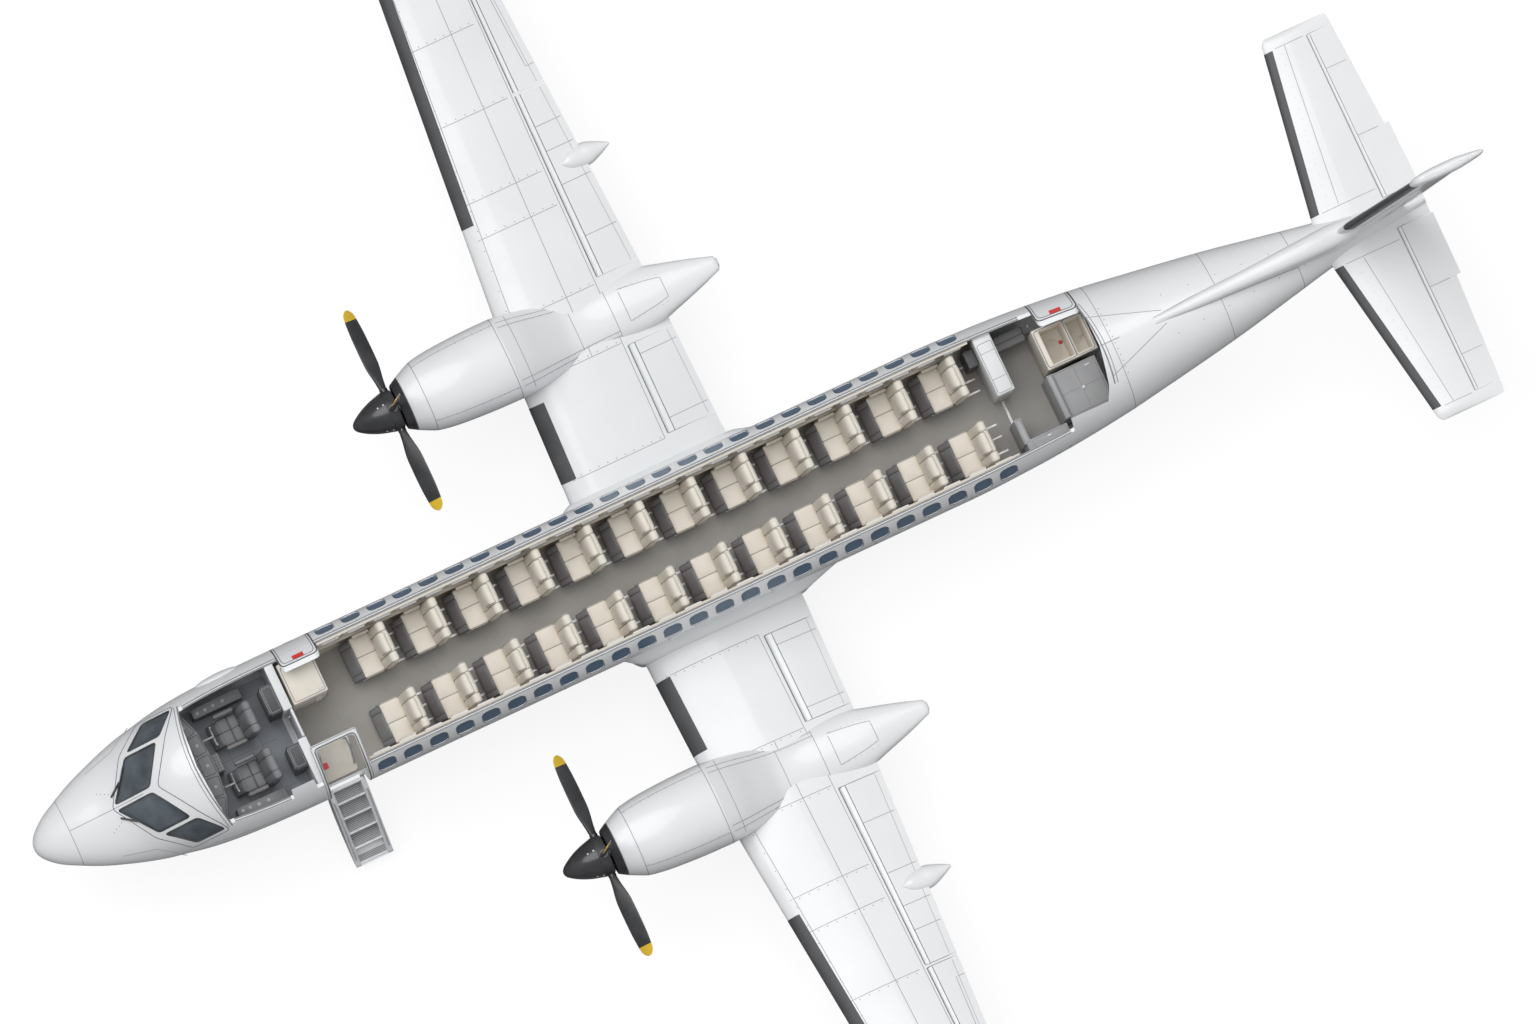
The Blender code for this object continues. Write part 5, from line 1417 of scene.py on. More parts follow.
rows = [mix(FIN, height) for height in np.linspace(2.8, 6.31, 12)] + tip_rows(FIN)[1:]
rings = [[on_fin(x, height, across) for x, across in foil_ring(front, back, thick)]
         for height, front, back, thick in rows]
fin = piece("fin_skin", closed_loft(rings), white_paint, sharp=30.0)
along = (RUDDER_HEAD - RUDDER_FOOT).normalized()
aft = Vector((along.z, 0.0, -along.x))
rudder_length = (RUDDER_HEAD - RUDDER_FOOT).length
rudder_ends = [(0.0, hinge_radius(FIN, RUDDER_FOOT.x, RUDDER_FOOT.z)),
               (rudder_length, hinge_radius(FIN, RUDDER_HEAD.x, RUDDER_HEAD.z))]


def by_hinge(x, across, at):
    """A point by its distance behind the rudder's hinge, its distance across and its place along it."""
    return RUDDER_FOOT + along * at + aft * x + Vector((0.0, across, 0.0))


carve(fin, hinge_cuts(by_hinge, rudder_ends, extra=0.004))
carve(fin, [tail_core], sharp=30.0)
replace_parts(fin, "fin")
rings = []
for x in spaced(6.22, 9.4, 0.16):
    half, top = smooth_rows(DORSAL, [x])[0]
    top = min(top, 3.83)
    sides = [(half * math.copysign(abs(math.cos(turn)) ** 0.8, math.cos(turn)),
              top - half + half * math.sin(turn)) for turn in np.linspace(0, math.pi, 17)]
    rings.append([(x, half, 2.75)] + [(x, y, z) for y, z in sides] + [(x, -half, 2.75)])
tip = [Vector((6.22 - 0.03, y * 0.3, 2.75 + (z - 2.75) * 0.93)) for x, y, z in rings[0]]
dorsal = piece("dorsal_fin_skin", closed_loft([tip] + rings), white_paint, sharp=45.0)
carve(dorsal, [tail_core, closed_loft(body_rings(spaced(16.9, 20.6, 0.2), 96, -0.004))], sharp=45.0)
rings = []
for share in np.linspace(0, 1, 9):
    at = share * rudder_length
    radius = rudder_ends[0][1] + (rudder_ends[1][1] - rudder_ends[0][1]) * share
    point = RUDDER_FOOT + along * at
    slope = (FIN[1][2] - FIN[0][2]) / (FIN[1][0] - FIN[0][0])
    reach = (FIN[0][2] + slope * (point.z - FIN[0][0]) - point.x) / (aft.x - slope * aft.z)
    rings.append([by_hinge(x, across, at) for x, across in blunt_ring(radius, reach)])
rudder = piece("rudder_skin", closed_loft(rings), white_paint, "rudder_surface", 30.0)
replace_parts(rudder, "rudder")
lines, moving = [], []
for sign in (1, -1):
    fin_skin = straight_skin(FIN, on_fin, sign)
    path = [(mix(FIN, FIN_CAP_Z)[1] + 0.01, FIN_CAP_Z), (11.12, FIN_CAP_Z)]
    lines.append(traced_strip(fin_skin, path, -sign, 0.08))
    for height in (3.95, 4.75, 5.5):
        front = mix(FIN, height)[1]
        hinge_x = RUDDER_FOOT.x + (height - RUDDER_FOOT.z) * along.x / along.z
        path = [(front + 0.17, height), (hinge_x - 0.1, height)]
        lines.append(traced_strip(fin_skin, path, -sign, 0.1, 0.008))
        path = [(hinge_x + 0.05, height - 0.02), (hinge_x + 0.34, height - 0.12)]
        moving.append(traced_strip(fin_skin, path, -sign, 0.1, 0.008))
    # The strip ahead of the hinge, at the fin's lip edge, is painted shade of the rudder's hinge gap; the one
    # behind it is a line on the rudder.
    for ahead, store in ((-0.062, lines), (0.014, moving)):
        hinge = [(RUDDER_FOOT.x + ahead, RUDDER_FOOT.z + 0.02), (RUDDER_HEAD.x + ahead, RUDDER_HEAD.z - 0.02)]
        store.append(traced_strip(fin_skin, hinge, -sign, 0.3, 0.012))
    lines.append(traced_strip(fin_skin, [(9.45, 3.9), (10.42, 6.12)], -sign, 0.15, 0.008))
    foot = [(x, sign * (smooth_rows(DORSAL, [x])[0][0] + 0.004)) for x in (6.3, 6.9, 7.8, 8.5)]
    lines.append(traced_strip(crown, foot, 1, 0.12, 0.008))
# along, half width, middle height, half height
FIN_TIP = ((10.055, 0.004, 6.14, 0.01), (10.07, 0.03, 6.165, 0.055), (10.11, 0.054, 6.205, 0.105),
           (10.17, 0.068, 6.235, 0.135), (10.3, 0.082, 6.252, 0.142), (10.45, 0.09, 6.256, 0.142),
           (10.7, 0.09, 6.278, 0.121), (10.95, 0.066, 6.285, 0.114), (11.11, 0.042, 6.298, 0.101),
           (11.17, 0.022, 6.306, 0.085), (11.188, 0.004, 6.312, 0.04))
cap_rings = []
for x in np.concatenate([spaced(10.055, 10.13, 0.009), spaced(10.17, 11.1, 0.05),
                         spaced(11.12, 11.188, 0.009)]):
    half, z, tall = smooth_rows(FIN_TIP, [x])[0]
    cap_rings.append([on_fin(x, z + math.copysign(tall * abs(math.sin(turn)) ** 0.75, math.sin(turn)),
                             math.copysign(half * abs(math.cos(turn)) ** 0.75, math.cos(turn)))
                      for turn in circle(32)])
piece("fin_tip_fairing", closed_loft(cap_rings), white_paint, sharp=50.0)
piece("fin_seams", merged(*lines), seam_sealant)
piece("rudder_seams", merged(*moving), seam_sealant, "rudder_surface")
fin_boot = boot(boot_ring(FIN, on_fin, 0.13), (3.95, 4.8, 5.6, 6.12))
piece("fin_boot", fin_boot, boot_rubber, sharp=50.0)


# Landing gear
# Forged steel legs with chromed sliding tubes, scissor links and drag braces stand on twin wheels. The nose
# fork turns below its leg's collar, and carries the links.
chrome = finish("chrome_tube", (0.62, 0.63, 0.65), 0.12, share=0.1, depth=0.0, Metallic=1.0)
gear_grey = finish("gear_enamel", (0.4, 0.41, 0.43), 0.4, dirt=(0.2, 0.2, 0.21), share=0.4, patch=8.0,
                   grain=200.0, depth=0.1)
tyre_rubber = finish("tyre_rubber", (0.025, 0.025, 0.027), 0.75, dirt=(0.07, 0.068, 0.064), share=0.5,
                     patch=12.0, grain=400.0, depth=0.3)
rim_paint = finish("rim_paint", (0.6, 0.61, 0.63), 0.35, dirt=(0.24, 0.24, 0.25), share=0.4, patch=16.0,
                   Metallic=0.3)
RIM_SHARE = 0.56


def tyre_profile(radius, width, middle):
    """A tyre's section with four tread grooves, from bead to bead, as distance along the axle and radius."""
    rim, half = RIM_SHARE * radius, width / 2
    side_wall = [(half * math.sin(turn) * 1.03, rim + (radius - rim) * math.cos(turn * 1.02) ** 0.62)
                 for turn in np.linspace(-0.42 * math.pi, 0.42 * math.pi, 15)]
    tread = [row for row in side_wall if abs(row[0]) >= 0.62 * half]
    middle_rows = []
    for groove in (-0.45, -0.15, 0.15, 0.45):
        for offset, drop in ((-0.035, 0.0), (-0.028, 0.02), (0.028, 0.02), (0.035, 0.0)):
            middle_rows.append(((groove + offset) * half * 1.2, radius * (1 - drop)))
    left = [row for row in tread if row[0] < 0]
    right = [row for row in tread if row[0] > 0]
    ring = [(-0.72 * half, rim - 0.004)] + left + middle_rows + right + [(0.72 * half, rim - 0.004)]
    return [(middle + along, min(reach, radius)) for along, reach in ring]


RIM_DISH = ((-0.2, 0.8), (-0.1, 0.34), (0.55, 0.3), (0.62, 0.1), (0.7, 0.1), (0.66, 0.34), (0.18, 0.42),
            (0.22, 0.82))


def wheel_pair(name, centre, body, radius, width, offset, axle):
    """Two wheels on one axle: tyres, dished rims with bolts, and brake drums between them."""
    tyres, rims, bolts, brakes = [], [], [], []
    rim = RIM_SHARE * radius
    for side in (-1, 1):
        tyres.append(turned("Y", centre, tyre_profile(radius, width, side * offset), 64))
        half = 0.4 * width
        dish = [(-half, rim + 0.006), (-half, rim - 0.012)]
        dish += [(half * along, rim * reach) for along, reach in RIM_DISH]
        dish += [(half * 0.85, rim - 0.014), (half, rim + 0.006)]
        rims.append(turned("Y", centre, [(side * (offset + along), reach) for along, reach in dish], 48))
        for bolt in range(10):
            turn = 2 * math.pi * bolt / 10
            at = (centre[0] + rim * 0.62 * math.cos(turn), centre[1], centre[2] + rim * 0.62 * math.sin(turn))
            face = side * (offset + half * 0.16)
            bolts.append(turned("Y", at, [(face, 0.0095), (face + side * 0.016, 0.0095)], 6))
        drum = ((1.25, 0.5), (1.25, 0.76), (0.55, 0.8), (0.5, 0.5))
        brakes.append(turned("Y", centre,
                             [(side * (offset - half * in_by), rim * reach) for in_by, reach in drum], 40))
    piece(f"{name}_tyres", merged(*tyres), tyre_rubber, body, 50.0)
    piece(f"{name}_rims", merged(*rims), rim_paint, body)
    piece(f"{name}_bolts", merged(*bolts), cast_steel, body)
    shaft = turned("Y", centre, ((-offset - 0.02, axle), (offset + 0.02, axle)), 32)
    piece(f"{name}_brakes", merged(*brakes, shaft), cast_steel, body)
    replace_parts(bpy.data.objects[f"{name}_tyres"], name)


def scissor(x, y, tall, low, reach, wide):
    """Two hinged links behind a leg, between two heights, as tapered plates."""
    middle = (tall + low) / 2
    shapes = []
    for a, b in ((tall, middle), (low, middle)):
        outline = [(x + 0.03, a - 0.022), (x + 0.03, a + 0.022), (x + reach, b + 0.014),
                   (x + reach, b - 0.014)]
        shapes += [side_prism(outline, y - wide, y - wide * 0.45),
                   side_prism(outline, y + wide * 0.45, y + wide)]
    shapes.append(turned("Y", (x + reach, y, middle), ((-wide * 1.1, 0.012), (wide * 1.1, 0.012)), 16))
    return shapes


# along, axle height, tyre radius, tyre width, wheel offset, axle radius
MAIN_GEAR = (-0.75, 0.365445, 0.365, 0.21, 0.215, 0.046)
NOSE_GEAR = (-9.0, 0.251861, 0.2515, 0.15, 0.155, 0.032)
for side, label in SIDES:
    x, axle_z, *sizes = MAIN_GEAR
    y = side * ENGINE_Y
    cylinder = ((0.62, 0.06), (0.63, 0.08), (0.7, 0.08), (0.705, 0.074), (1.33, 0.074))
    hub = ((-0.075, 0.062), (-0.06, 0.072), (0.06, 0.072), (0.075, 0.062))
    leg = [turned("Z", (x, y, 0), cylinder, 40), tube([(x - 0.66, y, 1.22), (x - 0.02, y, 0.7)], 0.028, 16),
           tube([(x + 0.03, y, 0.8), (x + 0.34, y, 1.22)], 0.024, 16), turned("Y", (x, y, axle_z), hub, 36),
           turned("Z", (x, y, 0), ((0.32, 0.052), (0.44, 0.058)), 32)]
    leg += scissor(x + 0.03, y, 0.66, 0.43, 0.16, 0.045)
    made = piece(f"main_leg_{label}", merged(*leg), gear_grey)
    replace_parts(made, f"main_gear_leg_{label}")
    piece(f"main_oleo_{label}", turned("Z", (x, y, 0), ((0.42, 0.047), (0.64, 0.047)), 40), chrome)
    hose = bent([(x + 0.085, y + 0.02, 1.2), (x + 0.085, y + 0.02, 0.66), (x + 0.12, y + 0.03, 0.52),
                 (x + 0.07, y + 0.05, 0.42)], 0.06)
    piece(f"brake_pipe_{label}", tube(hose, 0.008, 8), gasket_rubber)
    wheel_pair(f"main_wheels_{label}", (x, y, axle_z), f"main_wheel_pair_{label}", *sizes)
x, axle_z, *sizes = NOSE_GEAR
leg = [turned("Z", (x, 0, 0), ((0.562, 0.062), (0.6, 0.062), (0.605, 0.054), (1.2, 0.054)), 40),
       tube([(-9.48, 0, 1.12), (x - 0.01, 0, 0.62)], 0.02, 14),
       turned("Z", (x, 0, 0), ((0.74, 0.07), (0.82, 0.07)), 40)]
for side in (1, -1):
    leg.append(tube([(x - 0.03, side * 0.055, 0.78), (x + 0.14, side * 0.055, 0.8)], 0.018, 14))
made = piece("nose_leg", merged(*leg), gear_grey)
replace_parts(made, "nose_gear_leg")
fork = [turned("Z", (x, 0, 0), ((0.22, 0.048), (0.3, 0.05), (0.31, 0.038), (0.36, 0.037)), 36),
        turned("Y", (x, 0, axle_z), ((-0.058, 0.046), (0.058, 0.046)), 32),
        turned("Z", (x, 0, 0), ((0.52, 0.056), (0.5595, 0.056)), 40)]
fork += scissor(x + 0.02, 0.0, 0.535, 0.33, 0.12, 0.032)
made = piece("nose_fork", merged(*fork), gear_grey, "nose_steering")
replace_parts(made, "nose_gear_fork")
piece("nose_oleo", turned("Z", (x, 0, 0), ((0.35, 0.034), (0.53, 0.034)), 36), chrome, "nose_steering")
wheel_pair("nose_wheels", (x, 0.0, axle_z), "nose_wheel_pair", *sizes)
lamp = turned("X", (x - 0.085, 0.0, 0.66), ((0.0, 0.05), (0.012, 0.055), (0.05, 0.04), (0.06, 0.012)), 32)
piece("taxi_lamp", lamp, chrome)


# Cabin floor and wall linings
# Carpet covers honeycomb floor panels, with aluminium seat tracks let in along it. The moulded wall linings
# have a pale surround and a shade handle at each window. Dark grey strips along the shell's sawn edge are
# painted shade, darkening the edges of the roof cut.
FLOOR_Z = 1.5
cabin_carpet = finish("cabin_carpet", (0.4, 0.385, 0.362), 0.92, dirt=(0.31, 0.298, 0.28), share=0.6,
                      patch=1.6, grain=420.0, depth=0.7)
track_metal = finish("track_metal", (0.5, 0.5, 0.5), 0.35, dirt=(0.3, 0.3, 0.3), share=0.4, patch=10.0,
                     Metallic=0.7)
lining = finish("wall_lining", (0.66, 0.61, 0.53), 0.55, dirt=(0.52, 0.47, 0.4), share=0.35, patch=2.0,
                grain=220.0, depth=0.2)


def dressed(names, material):
    """Gives solids that are shown as they are a better material."""
    for name in names:
        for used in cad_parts[name].material_slots:
            used.material = material


dressed(["cabin_floor"], cabin_carpet)
dressed(["sidewall_trim_left", "sidewall_trim_right"], lining)
tracks = []
for side in (1, -1):
    for y in (0.27, 0.45, 0.67):
        tracks.append(block((-5.95, 3.8), about(side * y, 0.013), (FLOOR_Z - 0.003, FLOOR_Z + 0.004)))
tracks.append(block((4.0, 4.035), (-0.395, -0.005), (FLOOR_Z - 0.003, FLOOR_Z + 0.005)))
piece("seat_tracks", merged(*tracks), track_metal)
joints = [block(about(x, 0.004), (-0.8, 0.8), (FLOOR_Z - 0.003, FLOOR_Z + 0.0015))
          for x in (-6.47, -4.92, -2.48, -0.04, 2.4, 3.86)]
piece("floor_joints", merged(*joints), seam_sealant)
surrounds, shades = [], []
for x, side in windows:
    if -6.2 < x < 3.6:
        hoop = [Vector((x + a, side * (0.904 - 0.1 * max(0.0, b - 0.01)), 2.34 + b))
                for a, b in rounded(0.36, 0.46, 0.1, 5)]
        rings = [[point + Vector((0.014 * math.cos(turn) * (point.x - x) / 0.18,
                                  -side * 0.016 * math.sin(turn), 0.012 * math.cos(turn)))
                  for turn in circle(6)] for point in hoop]
        surrounds.append(closed_loft(rings, loop=True))
        shades.append(slab(rectangle(about(x, 0.13), (side * 0.846, side * 0.878)), 2.585, 2.605, 0.014))
piece("window_surrounds", merged(*surrounds), white_mould, sharp=60.0)
piece("shade_handles", merged(*shades), white_mould)
# Dark strips along the outer and inner edges of the sawn roof cut, and bows at its front and rear ends, are
# painted shade darkening those edges.
edges, ledges = [], []
for side, spans in ((1, ((-8.5, 4.6),)), (-1, ((-8.5, -7.64), (-6.41, 4.6)))):
    for start, end in spans:
        for inset, wide in ((0.008, 0.018), (SKIN - 0.01, 0.024)):
            path = []
            for x in spaced(start, end, 0.25):
                outer = skin(x, skin_angle(x, ROOF_CUT_Z))
                slope = (outer.y - skin(x, skin_angle(x, ROOF_CUT_Z), -SKIN).y) / SKIN
                path.append((Vector((x, side * (outer.y - inset / slope), ROOF_CUT_Z)), Vector((0, 0, 1))))
            edges.append(strip(path, wide, 0.003, 0.004))
    ledges.append(block((-6.38, 3.62), (side * 0.842, side * 0.901), (1.985, 2.035)))
for x_near, x_far, half, ends in ((-8.72, -8.58, 0.86, (-0.93, 0.93)), (5.47, 5.4, 0.7, (-0.56, 0.7))):
    for shift, wide in ((0.0, 0.02), (math.copysign(0.05, x_near), 0.01)):
        bow = [(x_near + shift + (x_far - x_near) * (y / half) ** 2, y) for y in np.linspace(*ends, 9)]
        edges.append(traced_strip(crown, bow, 1, 0.1, wide, 0.002, 0.004))
piece("roof_edge_seal", merged(*edges), grey_trim)
bevelled(piece("wall_ledges", merged(*ledges), beige_mould), 0.012)


# Passenger seats
# Single seats of foam under cream leather stand on alloy frames, with a dark leg rest, a headrest pillow and
# a wall-side armrest. The covers are sewn from panels, and the foam swells between their channels.
SEAT_ROWS = 12
SEAT_PITCH = 0.813
FIRST_SEAT_X = -6.075
SEAT_MIDDLE = 0.5155
PAD_COUNT = 36
CHANNEL_DARK = (0.045, 0.04, 0.035, 1.0)


def leather_group():
    """Pebbled leather with cloudy wear that is darker and rougher in patches, and darker along the sewn
    channels.
    """
    tree, given, out = new_tree("leather grain and seams", "ShaderNodeTree", SURFACE_INPUTS, SURFACE_OUTPUTS)
    place = node(tree, "ShaderNodeTexCoord").outputs["Object"]
    patches = node(tree, "ShaderNodeTexNoise",
                   {"Vector": place, "Scale": given["Patch scale"], "Detail": 5.0})
    pebbles = node(tree, "ShaderNodeTexVoronoi", {"Vector": place, "Scale": given["Grain scale"]})
    seam = node(tree, "ShaderNodeAttribute", attribute_name="seam").outputs["Fac"]
    worn = reckoned(tree, "MULTIPLY", patches.outputs["Fac"], given["Dirt share"])
    tone = mixed(tree, worn, given["Colour"], given["Dirt"])
    # The channels and piping lines are darkened towards near black, fading out about a centimetre either
    # side.
    sewn = mixed(tree, reckoned(tree, "MULTIPLY", seam, 0.85), tone, CHANNEL_DARK)
    rough = reckoned(tree, "ADD", worn, given["Roughness"])
    return surface_ends(tree, given, out, sewn, rough, pebbles.outputs["Distance"])


LEATHER = leather_group()
cream_leather = finish("cream_leather", (0.8, 0.75, 0.67), 0.42, dirt=(0.66, 0.6, 0.51), share=0.5, patch=5.0,
                       grain=380.0, depth=0.35, group=LEATHER)
dark_leather = finish("dark_leather", (0.22, 0.22, 0.225), 0.48, dirt=(0.15, 0.15, 0.15), share=0.5,
                      patch=6.0, grain=380.0, depth=0.35, group=LEATHER)
frame_enamel = finish("seat_frame_enamel", (0.16, 0.16, 0.17), 0.45, dirt=(0.08, 0.08, 0.08), share=0.4,
                      patch=9.0, Metallic=0.4)


def smooth_loop(points, count):
    """Evenly spaced points on a smooth closed curve through the given ones."""
    fine = []
    for i in range(len(points)):
        a, b, c, d = (Vector(points[(i + k) % len(points)]) for k in (-1, 0, 1, 2))
        for t in np.linspace(0, 1, 12, endpoint=False):
            fine.append(0.5 * (2 * b + (c - a) * t + (2 * a - 5 * b + 4 * c - d) * t ** 2
                               + (3 * b - a - 3 * c + d) * t ** 3))
    lengths = np.cumsum([0.0] + [(q - p).length for p, q in zip(fine, fine[1:] + fine[:1])])
    even = np.linspace(0, lengths[-1], count, endpoint=False)
    closed = fine + fine[:1]
    return [tuple(np.interp(s, lengths, [p[axis] for p in closed]) for axis in (0, 1)) for s in even]


def pad(name, outline, ends, channels=(), rounding=0.03, step=0.024, swell=0.01, count=PAD_COUNT, cross=()):
    """A stuffed pad: a side outline in x, z swept across from end to end, sewn down at its channels.

    Channels run round the pad at places across. cross gives places along, where only its top is sewn down.
    """
    loop = smooth_loop(outline, count)
    inward = []
    for i, point in enumerate(loop):
        along = Vector(loop[(i + 1) % count]) - Vector(loop[i - 1])
        inward.append(Vector((-along.y, along.x)).normalized())
    turn = sum(a[0] * b[1] - b[0] * a[1] for a, b in zip(loop, loop[1:] + loop[:1]))
    inward = [way if turn > 0 else -way for way in inward]
    low, high = ends
    rows = {}
    for end, way in ((low, 1), (high, -1)):
        for share, drop, seam in ((0.0, 1.0, 0.0), (0.1, 0.55, 0.0), (0.22, 0.34, 0.9), (0.45, 0.14, 0.0),
                                  (1.0, 0.0, 0.0)):
            rows[end + way * share * rounding * 1.6] = (drop * rounding, seam)
    for middle in channels:
        for offset, drop, seam in ((-0.03, 0.0, 0.0), (-0.01, 0.003, 0.0), (-0.004, 0.008, 0.5),
                                   (0.0, 0.01, 1.0)):
            rows[middle + offset] = rows[middle - offset] = (drop, seam)
    stops = sorted(rows)
    for a, b in zip(stops, stops[1:]):
        for extra in range(1, math.ceil((b - a) / step)):
            rows[a + (b - a) * extra / math.ceil((b - a) / step)] = (0.0, 0.0)
    rings, seams, held = [], [], []
    for y in sorted(rows):
        drop, seam = rows[y]
        for (x, z), way in zip(loop, inward):
            sewn = max([seam] + [1.0 for at in cross if abs(x - at) < 0.008 and way.y < 0])
            seams.append(sewn)
            held.append(drop > 0.9 * rounding or sewn > 0.8)
            dip = drop + (0.006 if sewn > seam else 0.0)
            rings.append((x + way.x * dip, y, z + way.y * dip))
    rings = [rings[i:i + count] for i in range(0, len(rings), count)]
    mesh = mesh_of(name, closed_loft(rings))
    mesh.attributes.new("seam", "FLOAT", "POINT").data.foreach_set("value", seams)
    made = bpy.data.objects.new(name, mesh)
    bpy.context.scene.collection.objects.link(made)
    return stuffed(made, [i for i, fixed in enumerate(held) if fixed], swell)


def stuffed(made, pinned, cap):
    """Swells a pad by cloth simulation with its seams held, no point moving further than a cap."""
    made.vertex_groups.new(name="seams").add(pinned, 1.0, "REPLACE")
    step = made.modifiers.new("swell", "CLOTH")
    step.settings.use_pressure = True
    step.settings.uniform_pressure_force = 4.0
    step.settings.vertex_group_mass = "seams"
    step.settings.effector_weights.gravity = 0.0
    for number in range(1, 21):
        bpy.context.scene.frame_set(number)
    swollen = made.evaluated_get(bpy.context.evaluated_depsgraph_get())
    for point, moved in zip(made.data.vertices, [point.co.copy() for point in swollen.data.vertices]):
        way = moved - point.co
        point.co += way.normalized() * min(way.length, cap)
    made.modifiers.clear()
    bpy.context.scene.frame_set(1)
    return made


def row_tree():
    """One part set on each point, unturned, as one mesh."""
    inputs = (("Points", "Geometry"), ("Part", "Object"), ("Finish", "Material"))
    tree, given, out = new_tree("seat rows", "GeometryNodeTree", inputs, (("Parts", "Geometry"),))
    part = node(tree, "GeometryNodeObjectInfo", {"Object": given["Part"]})
    return set_on_points(tree, given, out["Parts"], part.outputs["Geometry"])


ROWS = row_tree()
seat_spots = [(FIRST_SEAT_X + row * SEAT_PITCH, 0.0, 0.0) for row in range(SEAT_ROWS)]


def in_rows(parts, material, spots=seat_spots, middle=SEAT_MIDDLE, sharp=50.0):
    """A starboard part and its mirror image to port, repeated at every seat row as one piece."""
    name = parts.name
    grid = bmesh.new()
    grid.from_mesh(parts.data)
    bmesh.ops.translate(grid, verts=grid.verts, vec=(0.0, middle, 0.0))
    twin = bmesh.ops.duplicate(grid, geom=grid.verts[:] + grid.edges[:] + grid.faces[:])["geom"]
    bmesh.ops.scale(grid, verts=[part for part in twin if isinstance(part, bmesh.types.BMVert)],
                    vec=(1, -1, 1))
    bmesh.ops.reverse_faces(grid, faces=[part for part in twin if isinstance(part, bmesh.types.BMFace)])
    grid.to_mesh(parts.data)
    grid.free()
    row_points = bpy.data.meshes.new("row_points")
    row_points.from_pydata(spots, [], [])
    made = bpy.data.objects.new("row_points", row_points)
    bpy.context.scene.collection.objects.link(made)
    grown(made, ROWS, {"Part": parts, "Finish": material})
    mesh = made.data
    bpy.data.objects.remove(made)
    bpy.data.objects.remove(parts)
    made = piece(name, mesh, material, sharp=sharp)
    return made


def loose(name, *shapes, wide=0.0, segments=2):
    """An object with rounded edges that isn't yet a finished piece."""
    made = bpy.data.objects.new(name, mesh_of(name, merged(*shapes)))
    bpy.context.scene.collection.objects.link(made)
    return bevelled(made, wide, segments) if wide else made


LEG_REST = ((0.006, 1.64), (0.0, 1.705), (0.03, 1.765), (0.14, 1.915), (0.176, 1.935), (0.205, 1.9),
            (0.205, 1.83), (0.11, 1.69), (0.04, 1.63))
CUSHION = ((0.172, 1.835), (0.16, 1.905), (0.185, 1.948), (0.32, 1.955), (0.44, 1.948), (0.47, 1.905),
           (0.455, 1.835), (0.31, 1.815))
BACK = ((0.575, 1.76), (0.5, 1.8), (0.466, 1.9), (0.495, 2.18), (0.545, 2.5), (0.572, 2.585), (0.615, 2.605),
        (0.66, 2.59), (0.676, 2.54), (0.655, 2.2), (0.625, 1.82))
PILLOW = ((0.478, 2.34), (0.496, 2.5), (0.522, 2.605), (0.56, 2.645), (0.606, 2.64), (0.628, 2.59),
          (0.6, 2.42), (0.556, 2.32), (0.505, 2.295))
in_rows(pad("leg_rest_pads", LEG_REST, (-0.3, 0.285), (-0.205, 0.19), 0.026), dark_leather)
seats = in_rows(pad("seat_cushions", CUSHION, (-0.318, 0.312), (0.0,), 0.034), cream_leather)
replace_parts(seats, "passenger_seats_left", "passenger_seats_right")
in_rows(pad("seat_backs", BACK, (-0.32, 0.316), (-0.165, 0.165), 0.036, count=44), cream_leather)
in_rows(pad("headrest_pillows", PILLOW, (-0.158, 0.158), (), 0.028), cream_leather)
arm = [block((0.215, 0.47), (0.268, 0.312), (2.11, 2.145)),
       block((0.43, 0.466), (0.28, 0.302), (1.94, 2.115))]
in_rows(loose("seat_armrests", *arm, wide=0.012, segments=3), beige_mould)
lever = block((0.118, 0.196), (-0.326, -0.3), (1.8, 1.842))
in_rows(loose("recline_levers", lever, wide=0.008), grey_trim)
frame_parts = [block((0.19, 0.5), (-0.27, 0.27), (1.775, 1.812))]
foot = FLOOR_Z + 0.006
legs = [(0.23, 1.78), (0.47, 1.78), (0.51, foot), (0.46, foot), (0.42, 1.66), (0.3, 1.66), (0.26, foot),
        (0.21, foot)]
for y in (-0.2155, 0.1445):
    frame_parts.append(side_prism(legs, *about(y, 0.013)))
in_rows(loose("seat_frames", *frame_parts, wide=0.005), frame_enamel)


# Galley, cabinets and lavatory
# Honeycomb cabinets with laminate faces and alloy edge strips are bolted to the floor and walls. The
# lavatory is a one-piece moulding with a shroud and a basin top, and the luggage locker's lid is in parts.
beige_laminate = finish("beige_laminate", (0.74, 0.69, 0.61), 0.45, dirt=(0.6, 0.55, 0.47), share=0.35,
                        patch=3.0, grain=140.0, depth=0.1)
grey_laminate = finish("grey_laminate", (0.36, 0.36, 0.365), 0.45, dirt=(0.27, 0.27, 0.28), share=0.4,
                       patch=3.0, grain=140.0, depth=0.1)
dark_laminate = finish("dark_laminate", (0.075, 0.077, 0.08), 0.45, dirt=(0.14, 0.14, 0.14), share=0.3,
                       patch=5.0)


def eased(node_name, material, wide=0.012, body="airframe", tint=None):
    """A copy of a solid with its edges rounded, which then stands for it."""
    grid = bmesh.new()
    grid.from_mesh(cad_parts[node_name].data)
    bmesh.ops.remove_doubles(grid, verts=grid.verts, dist=0.0003)
    bmesh.ops.dissolve_limit(grid, angle_limit=math.radians(2), verts=grid.verts, edges=grid.edges)
    mesh = bpy.data.meshes.new(node_name)
    grid.to_mesh(mesh)
    grid.free()
    made = bevelled(piece(f"{node_name}_shell", mesh, material, body, tint=tint), wide)
    shaded(made.data, 35.0)
    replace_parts(made, node_name)
    return made


def top_line(outline, z, width=0.012, soft=0.03):
    """A closed edge strip on a level top."""
    path = [(Vector((x, y, z)), Vector((0, 0, 1))) for x, y in softened(outline, soft, 4)]
    return strip(path, width, 0.003, 0.004, True)


